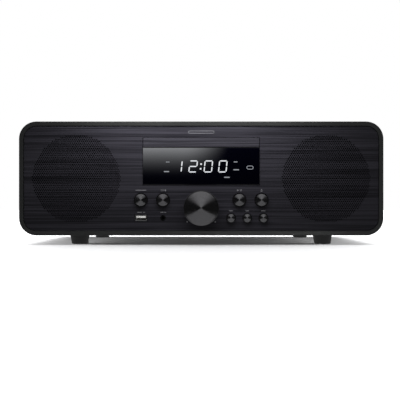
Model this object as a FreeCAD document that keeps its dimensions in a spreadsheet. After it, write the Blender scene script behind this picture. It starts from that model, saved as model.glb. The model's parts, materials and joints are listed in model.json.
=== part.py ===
import FreeCAD, Part

# One-piece mini hifi system: wooden cabinet, two speakers, CD drawer, display and front controls.
#
# Frame: millimetres, +X to the right seen from the front, +Y to the back, +Z up.
# The origin is on the floor, under the middle of the whole object.

import math
import os
import re

import Sketcher
from FreeCAD import Placement, Rotation, Vector

# ---------------------------------------------------------------- driving dimensions

DIMENSIONS = {
    # cabinet
    "cabinet_width": 420,
    "cabinet_height": 131.5,
    "cabinet_depth": 260,
    "cabinet_corner": 20,
    "shell_wall": 12,
    "rim_width": 5,
    "rim_round": 1.2,
    "foot_height": 11,
    "foot_top_diameter": 23,
    "foot_bottom_diameter": 19.5,
    "foot_inset_side": 65,
    "foot_inset_end": 33,
    # front panel, baffle and rear panel
    "panel_recess": 1,
    "panel_gap": 0.7,
    "panel_thickness": 3,
    "baffle_thickness": 8,
    "baffle_fit": 0.3,
    "bay_half_width": 80,
    "rear_recess": 3,
    "rear_thickness": 4,
    "rear_gap": 0.5,
    "divider_thickness": 6,
    # display
    "window_width": 134.8,
    "window_height": 42.6,
    "window_base": 58.8,
    "window_proud": 0.6,
    "window_fit": 0.15,
    "window_flange": 3,
    "window_flange_thickness": 1,
    "stake_radius": 1.4,
    "stake_length": 2.4,
    # speakers
    "grille_diameter": 104,
    "grille_thickness": 1.2,
    "grille_seat": 3,
    "grille_pitch": 6,
    "grille_hole": 4,
    "speaker_spacing": 288,
    "driver_diameter": 96,
    "driver_cutout": 82,
    "cone_diameter": 66,
    # controls
    "knob_diameter": 40,
    "knob_length": 14,
    "knob_height": 31.7,
    "knob_wall": 2.2,
    "shaft_diameter": 6,
    "running_gap": 0.05,
    "button_diameter": 15.4,
    "small_button_diameter": 10.2,
    "button_gap": 0.5,
    "button_proud": 2,
    "button_travel": 0.8,
    "button_row_height": 41,
    "small_row_height": 20.3,
    "button_inner_offset": 44,
    "button_outer_offset": 69.5,
    "small_button_first": 34.4,
    "small_button_pitch": 18.6,
    # CD drawer and its loader
    "tray_front_height": 10.8,
    "tray_front_thickness": 3,
    "tray_gap": 0.5,
    "tray_width": 128,
    "tray_length": 164,
    "tray_thickness": 4,
    "tray_underside": 3.4,
    "tray_travel": 128,
    "disc_diameter": 120,
    "disc_recess": 2,
    "disc_margin": 3.5,
    "tray_slot": 34,
    "loader_fit": 0.5,
    "loader_wall": 2,
    "loader_floor": 2,
    "loader_drop": 7,
    "gear_play": 0.1,
    # sockets at the back
    "socket_length": 12,
    "port_diameter": 30,
    "port_length": 60,
    "port_wall": 2,
    "screw_gap": 0.05,
}

PRESSURE_ANGLE = math.radians(20)
RACK_MODULE, RACK_TEETH = 1.0, 20
TRAIN_MODULE, TRAIN_TEETH, PINION_TEETH = 0.6, 40, 16
FEED_MODULE, FEED_TEETH = 0.5, 20

doc = FreeCAD.newDocument("MiniHifi")
sheet = doc.addObject("Spreadsheet::Sheet", "Dimensions")
for row, (alias, size) in enumerate(DIMENSIONS.items(), start=1):
    sheet.set(f"A{row}", str(size))
    sheet.setAlias(f"A{row}", alias)
doc.recompute()

ALIAS = re.compile(r"\b(" + "|".join(DIMENSIONS) + r")\b")

# ---------------------------------------------------------------- datum planes, as expressions

# The cabinet's front edge. It lies so far forward that the knob's face and the
# end of the aerial socket are equally far from the origin.
RIM = "(-(cabinet_depth + socket_length - rear_recess - knob_length + panel_recess) / 2)"
PANEL = f"({RIM} + panel_recess)"
PANEL_BACK = f"({PANEL} + panel_thickness)"
BAFFLE_BACK = f"({PANEL_BACK} + baffle_thickness)"
REAR_FACE = f"({RIM} + cabinet_depth - rear_recess)"
REAR_INNER = f"({REAR_FACE} - rear_thickness)"
TOP = "(foot_height + cabinet_height)"
INSIDE_BOTTOM = "(foot_height + shell_wall)"
INSIDE_TOP = "(foot_height + cabinet_height - shell_wall)"
INSIDE_HALF = "(cabinet_width / 2 - shell_wall)"
MIDDLE = "(foot_height + cabinet_height / 2)"

WINDOW_BOTTOM = "(foot_height + window_base)"
WINDOW_TOP = f"({WINDOW_BOTTOM} + window_height)"
SLOT_HALF = "(window_width / 2 + window_fit)"
TRAY_LOW = f"({WINDOW_TOP} + tray_gap)"
TRAY_HIGH = f"({TRAY_LOW} + tray_front_height)"
TRAY_UNDER = f"({TRAY_LOW} + tray_underside)"
TRAY_TOP = f"({TRAY_UNDER} + tray_thickness)"
DISC_Y = f"({PANEL} + tray_front_thickness + disc_margin + disc_diameter / 2 + loader_fit)"
FLOOR_TOP = f"({TRAY_UNDER} - loader_drop - 1.4)"
FLOOR_LOW = f"({FLOOR_TOP} - loader_floor)"
LOADER_FRONT = f"({BAFFLE_BACK} + 4)"
LOADER_INSIDE = "(tray_width / 2 + loader_fit)"
LOADER_OUTSIDE = f"({LOADER_INSIDE} + loader_wall)"
LOADER_BACK = f"({PANEL} + tray_front_thickness + tray_length + 8)"
BRIDGE_LOW = f"({TRAY_TOP} + 3.4)"
GEAR_X, GEAR_Y = "(-45)", f"({BAFFLE_BACK} + 17)"
BUTTON_Z = "(foot_height + button_row_height)"
SMALL_Z = "(foot_height + small_row_height)"
KNOB_Z = "(foot_height + knob_height)"
BOARD_FRONT = f"({BAFFLE_BACK} + 4)"
SWITCH_TOP = f"({BOARD_FRONT} - 5)"
DISPLAY_BOARD = f"({PANEL_BACK} + 9)"
BOARDS_Y = f"({REAR_INNER} - 125)"
LEAD_Y, LEAD_Z = f"({BOARDS_Y} + 10)", f"({INSIDE_BOTTOM} + 12)"

# ---------------------------------------------------------------- helpers

parts = {}  # node name -> the document object that is that node


def qualified(expression):
    """The expression with each alias looked up in the sheet."""
    return ALIAS.sub(r"Dimensions.\1", str(expression))


def number(expression):
    """The value of an expression at the sheet's present sizes."""
    return float(sheet.evalExpression(qualified(expression)))


def bind(thing, prop, expression):
    """Ties a property to the sheet."""
    thing.setExpression(prop, qualified(expression))


def place(thing, x="0", y="0", z="0"):
    """Ties an object's position to the sheet."""
    for axis, expression in zip("xyz", (x, y, z)):
        bind(thing, f"Placement.Base.{axis}", expression)
    return thing


def keep(node, thing):
    """Names an object as one of the finished sub-parts."""
    thing.Label = node
    parts[node] = thing
    return thing


def box(name, x, y, z):
    """A block between three pairs of limits."""
    block = doc.addObject("Part::Box", name)
    for prop, (low, high) in zip(("Length", "Width", "Height"), (x, y, z)):
        bind(block, prop, f"({high}) - ({low})")
    return place(block, x[0], y[0], z[0])


AXIS_TURN = {
    "X": Rotation(Vector(0, 1, 0), 90),
    "Y": Rotation(Vector(1, 0, 0), -90),
    "Z": Rotation(),
}


def cylinder(name, axis, centre, start, end, radius):
    """A round bar along one axis, from start to end, with its centre line at the other two coordinates."""
    bar = doc.addObject("Part::Cylinder", name)
    bind(bar, "Radius", radius)
    bind(bar, "Height", f"({end}) - ({start})")
    bar.Placement = Placement(Vector(), AXIS_TURN[axis])
    first, second = centre
    where = {"X": (start, first, second), "Y": (first, start, second), "Z": (first, second, start)}
    return place(bar, *where[axis])


def fuse(name, *shapes):
    joined = doc.addObject("Part::MultiFuse", name)
    joined.Shapes = list(shapes)
    joined.Refine = True
    return joined


def cut(name, base, *tools):
    cutter = tools[0] if len(tools) == 1 else fuse(name + "_tools", *tools)
    result = doc.addObject("Part::Cut", name)
    result.Base, result.Tool = base, cutter
    result.Refine = True
    return result


def group(name, *shapes):
    """Several separate solids in one object."""
    bundle = doc.addObject("Part::Compound", name)
    bundle.Links = list(shapes)
    return bundle


def new_body(name):
    return doc.addObject("PartDesign::Body", name)


PLANES = {"XY": "XY_Plane", "XZ": "XZ_Plane"}


def new_sketch(body, plane, offset="0"):
    """A sketch on one of the body's own planes: XZ seen from the front at a given Y, or XY at a given Z."""
    sketch = body.newObject("Sketcher::SketchObject", body.Name + "_sketch")
    roles = {feature.Role: feature for feature in body.Origin.OriginFeatures}
    sketch.AttachmentSupport = [(roles[PLANES[plane]], "")]
    sketch.MapMode = "FlatFace"
    sign = "-" if plane == "XZ" else ""
    bind(sketch, "AttachmentOffset.Base.z", f"{sign}({offset})")
    return sketch


def polygon(sketch, corners):
    """A closed outline whose corners are each held by two dimensions from the origin."""
    first = sketch.GeometryCount
    points = [Vector(number(u), number(v), 0) for u, v in corners]
    count = len(points)
    for i in range(count):
        sketch.addGeometry(Part.LineSegment(points[i], points[(i + 1) % count]), False)
    for i in range(count):
        sketch.addConstraint(Sketcher.Constraint("Coincident", first + i, 2, first + (i + 1) % count, 1))
    for i, (u, v) in enumerate(corners):
        for kind, expression, value in (("DistanceX", u, points[i].x), ("DistanceY", v, points[i].y)):
            index = sketch.addConstraint(Sketcher.Constraint(kind, -1, 1, first + i, 1, value))
            bind(sketch, f"Constraints[{index}]", expression)


def rectangle(sketch, u, v):
    polygon(sketch, [(u[0], v[0]), (u[1], v[0]), (u[1], v[1]), (u[0], v[1])])


def rounded(sketch, u, v, radius):
    """A rectangle with rounded corners: lines and arcs whose ends are held from the origin."""
    (left, right), (low, high), r = u, v, f"({radius})"
    ends = [
        ((f"{left} + {r}", low), (f"{right} - {r}", low)),
        ((right, f"{low} + {r}"), (right, f"{high} - {r}")),
        ((f"{right} - {r}", high), (f"{left} + {r}", high)),
        ((left, f"{high} - {r}"), (left, f"{low} + {r}")),
    ]
    first = sketch.GeometryCount
    size = number(radius)
    lines = [[Vector(number(a), number(b), 0) for a, b in pair] for pair in ends]
    for start, end in lines:
        sketch.addGeometry(Part.LineSegment(start, end), False)
    for i in range(4):
        begin, finish = lines[i][1], lines[(i + 1) % 4][0]
        across = finish - begin
        turn = Vector(-across.y, across.x, 0) * 0.5
        centre = (begin + finish) * 0.5 + turn
        angle = math.atan2(begin.y - centre.y, begin.x - centre.x)
        arc = Part.Circle(centre, Vector(0, 0, 1), size)
        sketch.addGeometry(Part.ArcOfCircle(arc, angle, angle + math.pi / 2), False)
    for i in range(4):
        arc = first + 4 + i
        sketch.addConstraint(Sketcher.Constraint("Coincident", first + i, 2, arc, 1))
        sketch.addConstraint(Sketcher.Constraint("Coincident", arc, 2, first + (i + 1) % 4, 1))
        held = sketch.addConstraint(Sketcher.Constraint("Radius", arc, size))
        bind(sketch, f"Constraints[{held}]", radius)
        for end, (pair, point) in enumerate(zip(ends[i], lines[i]), start=1):
            for kind, expression, value in (
                ("DistanceX", pair[0], point.x), ("DistanceY", pair[1], point.y)
            ):
                held = sketch.addConstraint(Sketcher.Constraint(kind, -1, 1, first + i, end, value))
                bind(sketch, f"Constraints[{held}]", expression)


def circle(sketch, u, v, radius):
    """A circle held by its centre and radius."""
    shape = Part.Circle(Vector(number(u), number(v), 0), Vector(0, 0, 1), number(radius))
    index = sketch.addGeometry(shape, False)
    for kind, expression, value in (("DistanceX", u, number(u)), ("DistanceY", v, number(v))):
        held = sketch.addConstraint(Sketcher.Constraint(kind, -1, 1, index, 3, value))
        bind(sketch, f"Constraints[{held}]", expression)
    held = sketch.addConstraint(Sketcher.Constraint("Radius", index, number(radius)))
    bind(sketch, f"Constraints[{held}]", radius)


def pad(body, sketch, length, away=False):
    """Adds material, towards +Y or +Z, or the other way if away is set."""
    feature = body.newObject("PartDesign::Pad", body.Name + "_pad")
    feature.Profile = sketch
    bind(feature, "Length", length)
    on_front = sketch.AttachmentSupport[0][0].Role == "XZ_Plane"
    feature.Reversed = on_front != away
    return feature


def pocket(body, sketch, depth=None, away=False):
    """Removes material towards +Y or +Z (or the other way), to a depth or right through."""
    before = checked_volume(body)
    feature = body.newObject("PartDesign::Pocket", body.Name + "_pocket")
    feature.Profile = sketch
    if depth is None:
        feature.Type = 1
        feature.Midplane = True
    else:
        bind(feature, "Length", depth)
        on_front = sketch.AttachmentSupport[0][0].Role == "XZ_Plane"
        feature.Reversed = on_front == away
    if checked_volume(body) >= before - 1e-6:
        raise ValueError(f"{feature.Label} removed nothing")
    return feature


def checked_volume(body):
    doc.recompute()
    return body.Shape.Volume


def fillet(body, radius, wanted):
    """Rounds the edges for which wanted(edge) is true."""
    doc.recompute()
    base = body.Tip
    names = [f"Edge{i}" for i, edge in enumerate(base.Shape.Edges, start=1) if wanted(edge)]
    if not names:
        raise ValueError(f"{body.Label} has no such edge to round")
    feature = body.newObject("PartDesign::Fillet", body.Name + "_fillet")
    feature.Base = (base, names)
    bind(feature, "Radius", radius)
    return feature


def along(axis, outermost=None):
    """Picks straight edges along an axis; with outermost, only those at that half width or beyond."""

    def wanted(edge):
        if not isinstance(edge.Curve, Part.Line):
            return False
        if abs(edge.tangentAt(edge.FirstParameter).dot(axis)) < 0.999:
            return False
        return outermost is None or abs(edge.CenterOfMass.x) > number(outermost) - 0.01

    return wanted


def turned(name, profile, axis, x, y, z):
    """A turned piece: profile holds (radius, distance along the axis) corners."""
    body = new_body(name)
    sketch = new_sketch(body, "XZ")
    polygon(sketch, profile)
    feature = body.newObject("PartDesign::Revolution", name + "_turn")
    feature.Profile = sketch
    feature.ReferenceAxis = (sketch, ["V_Axis"])
    feature.Angle = 360
    body.Placement = Placement(Vector(), AXIS_TURN[axis])
    return place(body, x, y, z)


def gear_outline(module, teeth, turn=0.0):
    """An involute gear's outline as a closed polygon, with a tooth centred on +X before it is turned."""
    pitch_radius = module * teeth / 2
    base_radius = pitch_radius * math.cos(PRESSURE_ANGLE)
    tip_radius = pitch_radius + 0.9 * module
    root_radius = pitch_radius - 1.25 * module
    play = number("gear_play") / 2 / pitch_radius

    def involute(angle):
        return math.tan(angle) - angle

    def half_width(radius):
        lean = math.acos(min(1.0, base_radius / radius))
        return math.pi / 2 / teeth - play + involute(PRESSURE_ANGLE) - involute(lean)

    start = max(base_radius, root_radius)
    radii = [start + (tip_radius - start) * step / 3 for step in range(4)]
    flank = [(r, half_width(r)) for r in radii]
    if root_radius < base_radius:
        flank.insert(0, (root_radius, half_width(start)))
    points = []
    for tooth in range(teeth):
        centre = 2 * math.pi * tooth / teeth + turn
        for r, w in flank:
            points.append(Vector(r * math.cos(centre - w), r * math.sin(centre - w), 0))
        for r, w in reversed(flank):
            points.append(Vector(r * math.cos(centre + w), r * math.sin(centre + w), 0))
    return points


def rack_outline(module, backing, first, last, offset):
    """A rack along Y with its teeth towards +X and its pitch line at x = 0.

    A gap between two teeth is centred on y = offset.
    """
    pitch = math.pi * module
    slope = math.tan(PRESSURE_ANGLE)
    tip, root = 0.9 * module, -1.25 * module
    half = pitch / 4 - number("gear_play") / 2
    points = [Vector(-backing, last, 0), Vector(-backing, first, 0), Vector(root, first, 0)]
    tooth = math.ceil((first - offset) / pitch + 0.5) - 0.5
    while offset + tooth * pitch + half - root * slope < last:
        centre = offset + tooth * pitch
        if centre - half + root * slope > first:
            points += [
                Vector(root, centre - half + root * slope, 0),
                Vector(tip, centre - half + tip * slope, 0),
                Vector(tip, centre + half - tip * slope, 0),
                Vector(root, centre + half - root * slope, 0),
            ]
        tooth += 1
    points.append(Vector(root, last, 0))
    return points


def prism(points, low, high):
    """The solid between two heights over a closed outline."""
    loop = Part.makePolygon([Vector(p.x, p.y, low) for p in points + [points[0]]])
    return Part.Face(loop).extrude(Vector(0, 0, high - low))


def bar(radius, low, high, x=0.0, y=0.0):
    """A vertical round solid."""
    return Part.makeCylinder(radius, high - low, Vector(x, y, low))


def solid_feature(name, shape, x="0", y="0", z="0"):
    """A sub-part whose shape is worked out here, then placed."""
    feature = doc.addObject("Part::Feature", name)
    feature.Shape = shape
    return place(feature, x, y, z)


def cable(points, radius):
    """A round lead along straight runs joined by the largest arcs that fit."""
    edges, start = [], points[0]
    for before, corner, after in zip(points, points[1:], points[2:]):
        back, ahead = before - corner, after - corner
        trim = 0.45 * min(back.Length, ahead.Length)
        back.normalize()
        ahead.normalize()
        first, last = corner + back * trim, corner + ahead * trim
        half = back.getAngle(ahead) / 2
        bisector = back + ahead
        bisector.normalize()
        centre = corner + bisector * (trim / math.cos(half))
        middle = centre - bisector * (trim * math.tan(half))
        edges.append(Part.LineSegment(start, first).toShape())
        edges.append(Part.Arc(first, middle, last).toShape())
        start = last
    edges.append(Part.LineSegment(start, points[-1]).toShape())
    path = Part.Wire(edges)
    heading = points[1] - points[0]
    section = Part.Wire([Part.Circle(points[0], heading, radius).toShape()])
    tube = path.makePipeShell([section], True, False)
    if abs(tube.Volume - math.pi * radius**2 * path.Length) > 0.02 * tube.Volume:
        raise ValueError("a lead's volume is not its section times its length")
    return tube


MIRROR = (("left", "-"), ("right", ""))

# ---------------------------------------------------------------- cabinet


def cabinet_shell():
    """The wooden sleeve: four walls with rounded corners, rebated at both ends for the panels."""
    body = new_body("CabinetShell")
    outline = new_sketch(body, "XZ", RIM)
    rounded(outline, ("-cabinet_width / 2", "cabinet_width / 2"), ("foot_height", TOP), "cabinet_corner")
    pad(body, outline, "cabinet_depth")
    hollow = new_sketch(body, "XZ", RIM)
    rounded(
        hollow, (f"-{INSIDE_HALF}", INSIDE_HALF), (INSIDE_BOTTOM, INSIDE_TOP), "cabinet_corner - shell_wall"
    )
    pocket(body, hollow)
    half = "(cabinet_width / 2 - rim_width)"
    for start, depth, away in (
        (RIM, "panel_recess + panel_thickness", False),
        (f"{RIM} + cabinet_depth", "rear_recess + rear_thickness", True),
    ):
        step = new_sketch(body, "XZ", start)
        heights = ("foot_height + rim_width", f"{TOP} - rim_width")
        rounded(step, ("-" + half, half), heights, "cabinet_corner - rim_width")
        pocket(body, step, depth, away)
    rim, inner = number(RIM), number(half)
    middle, inner_height = number(MIDDLE), number("cabinet_height / 2 - rim_width")

    def front_outside(edge):
        at = edge.valueAt((edge.FirstParameter + edge.LastParameter) / 2)
        on_rim = abs(edge.BoundBox.YMin - rim) < 0.01 and abs(edge.BoundBox.YMax - rim) < 0.01
        corner = number("cabinet_corner")
        reach = math.hypot(
            max(0, abs(at.x) - inner + corner - 5), max(0, abs(at.z - middle) - inner_height + corner - 5)
        )
        return on_rim and reach > corner - 2

    fillet(body, "rim_round", front_outside)
    holes = new_sketch(body, "XY", "foot_height")
    for x, y in foot_places():
        circle(holes, x, y, "1.5 + screw_gap")
    pocket(body, holes, "shell_wall - 2")
    leads = new_sketch(body, "XZ", f"{RIM} + cabinet_depth - rear_recess - rear_thickness")
    for x, z in rear_screw_places():
        circle(leads, x, z, "1.25 + screw_gap")
    pocket(body, leads, "9", away=True)
    keep("cabinet_shell", body)


def foot_places():
    x = "(cabinet_width / 2 - foot_inset_side)"
    front, back = f"({RIM} + foot_inset_end)", f"({RIM} + cabinet_depth - foot_inset_end)"
    return [(sign + x, y) for y in (front, back) for _, sign in MIRROR]


def rear_screw_places():
    """Eight screws round the rear panel, in the middle of the shell's shoulder."""
    inset = "(rim_width + (shell_wall - rim_width) / 2)"
    side = f"(cabinet_width / 2 - {inset})"
    low, high = f"(foot_height + {inset})", f"({TOP} - {inset})"
    spots = [(f"{sign}(cabinet_width / 4)", z) for _, sign in MIRROR for z in (low, high)]
    spots += [(sign + side, f"({MIDDLE} {up} cabinet_height / 5)") for _, sign in MIRROR for up in "+-"]
    return spots


def feet():
    """Four tapered feet, each with a sunk screw."""
    profile = [
        ("1.7", "foot_height"),
        ("foot_top_diameter / 2", "foot_height"),
        ("foot_bottom_diameter / 2", "0.8"),
        ("foot_bottom_diameter / 2 - 0.8", "0"),
        ("4", "0"),
        ("4", "foot_height / 2"),
        ("1.7", "foot_height / 2"),
    ]
    rubber, screws = [], []
    for i, (x, y) in enumerate(foot_places()):
        rubber.append(turned(f"Foot{i}", profile, "Z", x, y, "0"))
        head = [
            ("0", "foot_height / 2 - 2.2"),
            ("3.2", "foot_height / 2 - 2.2"),
            ("3.2", "foot_height / 2"),
            ("1.5", "foot_height / 2"),
            ("1.5", "foot_height + shell_wall - 4"),
            ("0", "foot_height + shell_wall - 3"),
        ]
        screws.append(turned(f"FootScrew{i}", head, "Z", x, y, "0"))
    keep("feet", group("Feet", *rubber))
    keep("foot_screws", group("FootScrews", *screws))


def front_panel():
    """The visible front: a moulded plate with the openings for grilles, window, drawer, keys and sockets."""
    body = new_body("FrontPanel")
    half = "(cabinet_width / 2 - rim_width - panel_gap)"
    outline = new_sketch(body, "XZ", PANEL)
    heights = ("foot_height + rim_width + panel_gap", f"{TOP} - rim_width - panel_gap")
    rounded(outline, ("-" + half, half), heights, "cabinet_corner - rim_width - panel_gap")
    pad(body, outline, "panel_thickness")
    through = new_sketch(body, "XZ", PANEL)
    rectangle(
        through, ("-" + SLOT_HALF, SLOT_HALF), (f"{WINDOW_BOTTOM} - window_fit", f"{TRAY_HIGH} + tray_gap")
    )
    for _, sign in MIRROR:
        circle(through, f"{sign}(speaker_spacing / 2)", MIDDLE, "grille_diameter / 2 - grille_seat")
    for x, z, diameter in button_places():
        circle(through, x, z, f"{diameter} / 2 + button_gap")
    circle(through, "0", KNOB_Z, "5")
    circle(through, "-button_inner_offset", SMALL_Z, "3 + button_gap / 2")
    usb = "button_outer_offset"
    rectangle(through, (f"-{usb} - 7.4", f"-{usb} + 7.4"), (f"{SMALL_Z} - 3.8", f"{SMALL_Z} + 3.8"))
    pocket(body, through)
    seats = new_sketch(body, "XZ", PANEL)
    for _, sign in MIRROR:
        circle(seats, f"{sign}(speaker_spacing / 2)", MIDDLE, "grille_diameter / 2 + screw_gap")
    pocket(body, seats, "grille_thickness")
    staked_posts(body, board_posts(), PANEL_BACK, BOARD_FRONT)
    keep("front_panel", body)


def staked_posts(body, places, start, end):
    """Posts that a board stands on, each with a pin through the board that is melted over."""
    posts = new_sketch(body, "XZ", start)
    for x, z in places:
        circle(posts, x, z, "2.6")
    pad(body, posts, f"{end} - ({start})")
    pins = new_sketch(body, "XZ", end)
    for x, z in places:
        circle(pins, x, z, "stake_radius")
    pad(body, pins, "stake_length")


def stake_holes(name, places, front):
    """The holes in a board for those pins."""
    return [
        cylinder(f"{name}{i}", "Y", (x, z), f"{front} - 1", f"{front} + 3", "stake_radius + screw_gap")
        for i, (x, z) in enumerate(places)
    ]


def board_posts():
    return [
        (sign + "(button_outer_offset - 13.5)", f"({KNOB_Z} {dz})")
        for _, sign in MIRROR for dz in ("- 1.5", "+ 18")
    ]


def button_places():
    """(x, z, diameter) of the four large keys and the three small ones."""
    large = [
        (f"(-{a})", BUTTON_Z, "button_diameter") for a in ("button_outer_offset", "button_inner_offset")
    ]
    large += [
        (f"({a})", BUTTON_Z, "button_diameter") for a in ("button_inner_offset", "button_outer_offset")
    ]
    small = [
        (
            f"(small_button_first + {i} * small_button_pitch)", SMALL_Z, "small_button_diameter"
        ) for i in range(3)
    ]
    return large + small


def front_baffle():
    """The board behind the front panel that carries the drivers."""
    body = new_body("FrontBaffle")
    half = f"({INSIDE_HALF} - baffle_fit)"
    outline = new_sketch(body, "XZ", PANEL_BACK)
    heights = (f"{INSIDE_BOTTOM} + baffle_fit", f"{INSIDE_TOP} - baffle_fit")
    rounded(outline, ("-" + half, half), heights, "cabinet_corner - shell_wall")
    pad(body, outline, "baffle_thickness")
    through = new_sketch(body, "XZ", PANEL_BACK)
    bay = "bay_half_width"
    rectangle(through, ("-" + bay, bay), (f"{INSIDE_BOTTOM} + 1.5", f"{TRAY_HIGH} + 1.5"))
    for _, sign in MIRROR:
        circle(through, f"{sign}(speaker_spacing / 2)", MIDDLE, "driver_cutout / 2")
    pocket(body, through)
    pilots = new_sketch(body, "XZ", BAFFLE_BACK)
    for x, z in driver_screw_places():
        circle(pilots, x, z, "1.5 + screw_gap")
    pocket(body, pilots, "6", away=True)
    keep("front_baffle", body)


def driver_screw_places():
    reach = "(driver_diameter / 2 - 3.3) * 0.70711"
    return [
        (f"({sign}(speaker_spacing / 2) {across} {reach})", f"({MIDDLE} {up} {reach})")
        for _, sign in MIRROR
        for across in "-+"
        for up in "-+"
    ]


def grilles():
    """Perforated discs, flush with the front panel, with staggered rows of round holes."""
    radius, thickness = number("grille_diameter / 2"), number("grille_thickness")
    pitch, hole = number("grille_pitch"), number("grille_hole / 2")
    border = number("grille_seat") + hole
    row_step = pitch * math.sqrt(3) / 2
    rows = int(radius / row_step)
    drills = []
    for j in range(-rows, rows + 1):
        shift = pitch / 2 if j % 2 else 0.0
        for i in range(-rows - 2, rows + 3):
            x, y = i * pitch + shift, j * row_step
            if math.hypot(x, y) + border < radius:
                drills.append(bar(hole, -1, thickness + 1, x, y))
    disc = bar(radius, 0, thickness).cut(Part.makeCompound(drills))
    disc = disc.Solids[0]
    disc.rotate(Vector(), Vector(1, 0, 0), -90)
    for side, sign in MIRROR:
        node = f"speaker_grille_{side}"
        keep(node, solid_feature(node + "_disc", disc, f"{sign}(speaker_spacing / 2)", PANEL, MIDDLE))


def dividers():
    """Two upright boards that close the speaker chambers off from the middle bay."""
    boards = []
    for side, sign in MIRROR:
        name = f"Divider_{side}"
        low, high = "(bay_half_width + 4)", "(bay_half_width + 4 + divider_thickness)"
        x = (low, high) if sign == "" else (f"-{high}", f"-{low}")
        board = box(
            name, x, (f"{BAFFLE_BACK} + baffle_fit", f"{REAR_INNER} - baffle_fit"),
            (f"{INSIDE_BOTTOM} + baffle_fit", f"{INSIDE_TOP} - baffle_fit"),
        )
        hole = cylinder(name + "_lead_hole", "X", (LEAD_Y, LEAD_Z), x[0], x[1], "3.5")
        boards.append(cut(name + "_drilled", board, hole))
    keep("chamber_dividers", group("ChamberDividers", *boards))


def rear_panel():
    """The back cover with cut-outs for the sockets and ports, louvres and screw holes."""
    body = new_body("RearPanel")
    half = "(cabinet_width / 2 - rim_width - rear_gap)"
    outline = new_sketch(body, "XZ", REAR_INNER)
    heights = ("foot_height + rim_width + rear_gap", f"{TOP} - rim_width - rear_gap")
    rounded(outline, ("-" + half, half), heights, "cabinet_corner - rim_width - rear_gap")
    pad(body, outline, "rear_thickness")
    holes = new_sketch(body, "XZ", REAR_INNER)
    for x, z in rear_screw_places():
        circle(holes, x, z, "1.25 + screw_gap * 3")
    for _, sign in MIRROR:
        circle(holes, f"{sign}(speaker_spacing / 2)", PORT_Z, "port_diameter / 2 + port_wall + screw_gap")
    circle(holes, AERIAL[0], AERIAL[1], "4 + screw_gap")
    rectangle(
        holes, (f"{MAINS[0]} - 11 - screw_gap", f"{MAINS[0]} + 11 + screw_gap"),
        (f"{MAINS[1]} - 6.5 - screw_gap", f"{MAINS[1]} + 6.5 + screw_gap"),
    )
    for i in range(9):
        x = f"({(i - 4) * 9})"
        rectangle(holes, (f"{x} - 1.4", f"{x} + 1.4"), (f"{MIDDLE} - 2", f"{MIDDLE} + 36"))
    pocket(body, holes)
    keep("rear_panel", body)
    screws = []
    profile = [("0", "1.8"), ("0.9", "1.8"), ("1.4", "2.2"), ("2.4", "1.6"), ("2.6", "0"),
               ("1.25", "0"), ("1.25", "-rear_thickness - 7"), ("0", "-rear_thickness - 8.5")]
    for i, (x, z) in enumerate(rear_screw_places()):
        screws.append(turned(f"RearScrew{i}", profile, "Y", x, REAR_FACE, z))
    keep("rear_screws", group("RearScrews", *screws))


PORT_Z = f"({MIDDLE} - 22)"
AERIAL = ("(-62)", f"({TOP} - 31)")
MAINS = ("(60)", "(foot_height + 32)")


def reflex_ports():
    """A flared tube from each speaker chamber through the rear panel."""
    ports = []
    bore, wall = "port_diameter / 2", "port_wall"
    profile = [
        (bore, "-port_length"),
        (f"{bore} + {wall}", "-port_length"),
        (f"{bore} + {wall}", "0"),
        (f"{bore} + 5", "0"),
        (f"{bore} + 5", "0.6"),
        (f"{bore} + 4.4", "1.4"),
        (f"{bore} + 3", "1.4"),
        (f"{bore} + 0.8", "-1.2"),
        (bore, "-5"),
    ]
    for side, sign in MIRROR:
        ports.append(
            turned(f"ReflexPort_{side}", profile, "Y", f"{sign}(speaker_spacing / 2)", REAR_FACE, PORT_Z)
        )
    keep("reflex_ports", group("ReflexPorts", *ports))


# ---------------------------------------------------------------- display


def display():
    """The glossy window, the digit module behind it and the board that it is soldered to."""
    half = "window_width / 2"
    window = new_body("DisplayWindow")
    outline = new_sketch(window, "XZ", f"{PANEL} - window_proud")
    rectangle(outline, ("-" + half, half), (WINDOW_BOTTOM, WINDOW_TOP))
    pad(window, outline, "panel_thickness + window_proud")
    face_y = number(f"{PANEL} - window_proud")
    fillet(window, "0.4", lambda e: abs(e.BoundBox.YMax - face_y) < 0.01)
    flange = new_sketch(window, "XZ", PANEL_BACK)
    rectangle(
        flange, (f"-({half} + window_flange)", f"{half} + window_flange"),
        (f"{WINDOW_BOTTOM} - window_flange", WINDOW_TOP)
    )
    pad(window, flange, "window_flange_thickness")
    centre = f"({WINDOW_BOTTOM} + window_height / 2)"
    stakes = [(x, f"({centre} {dz} 14)") for x in ("-60", "60") for dz in "-+"]
    staked_posts(window, stakes, f"{PANEL_BACK} + window_flange_thickness", DISPLAY_BOARD)
    keep("display_window", window)
    module = new_body("DisplayModule")
    front = f"{PANEL_BACK} + window_flange_thickness"
    outline = new_sketch(module, "XZ", front)
    rectangle(outline, ("-56", "56"), (f"{centre} - 13", f"{centre} + 13"))
    pad(module, outline, f"{DISPLAY_BOARD} - ({front})")
    cells = new_sketch(module, "XZ", front)
    for i in range(4):
        x = f"({(i - 1.5) * 17.1})"
        rectangle(cells, (f"{x} - 5.5", f"{x} + 5.5"), (f"{centre} - 8", f"{centre} + 8"))
    for dz in ("- 3.4", "+ 3.4"):
        circle(cells, "0", f"{centre} {dz}", "1.2")
    pocket(module, cells, "0.4")
    keep("display_module", module)
    board = box("DisplayBoard", ("-64", "64"), (DISPLAY_BOARD, f"{DISPLAY_BOARD} + 1.6"),
                (f"{WINDOW_BOTTOM} + 1", f"{WINDOW_TOP} - 3"))
    keep(
        "display_board",
        cut("DisplayBoardDrilled", board, *stake_holes("DisplayBoardHole", stakes, DISPLAY_BOARD))
    )


# ---------------------------------------------------------------- keys, knob and front sockets


BUTTON_NAMES = (
    "button_standby", "button_source", "button_play", "button_eject",
    "button_info", "button_menu", "button_preset",
)


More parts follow.
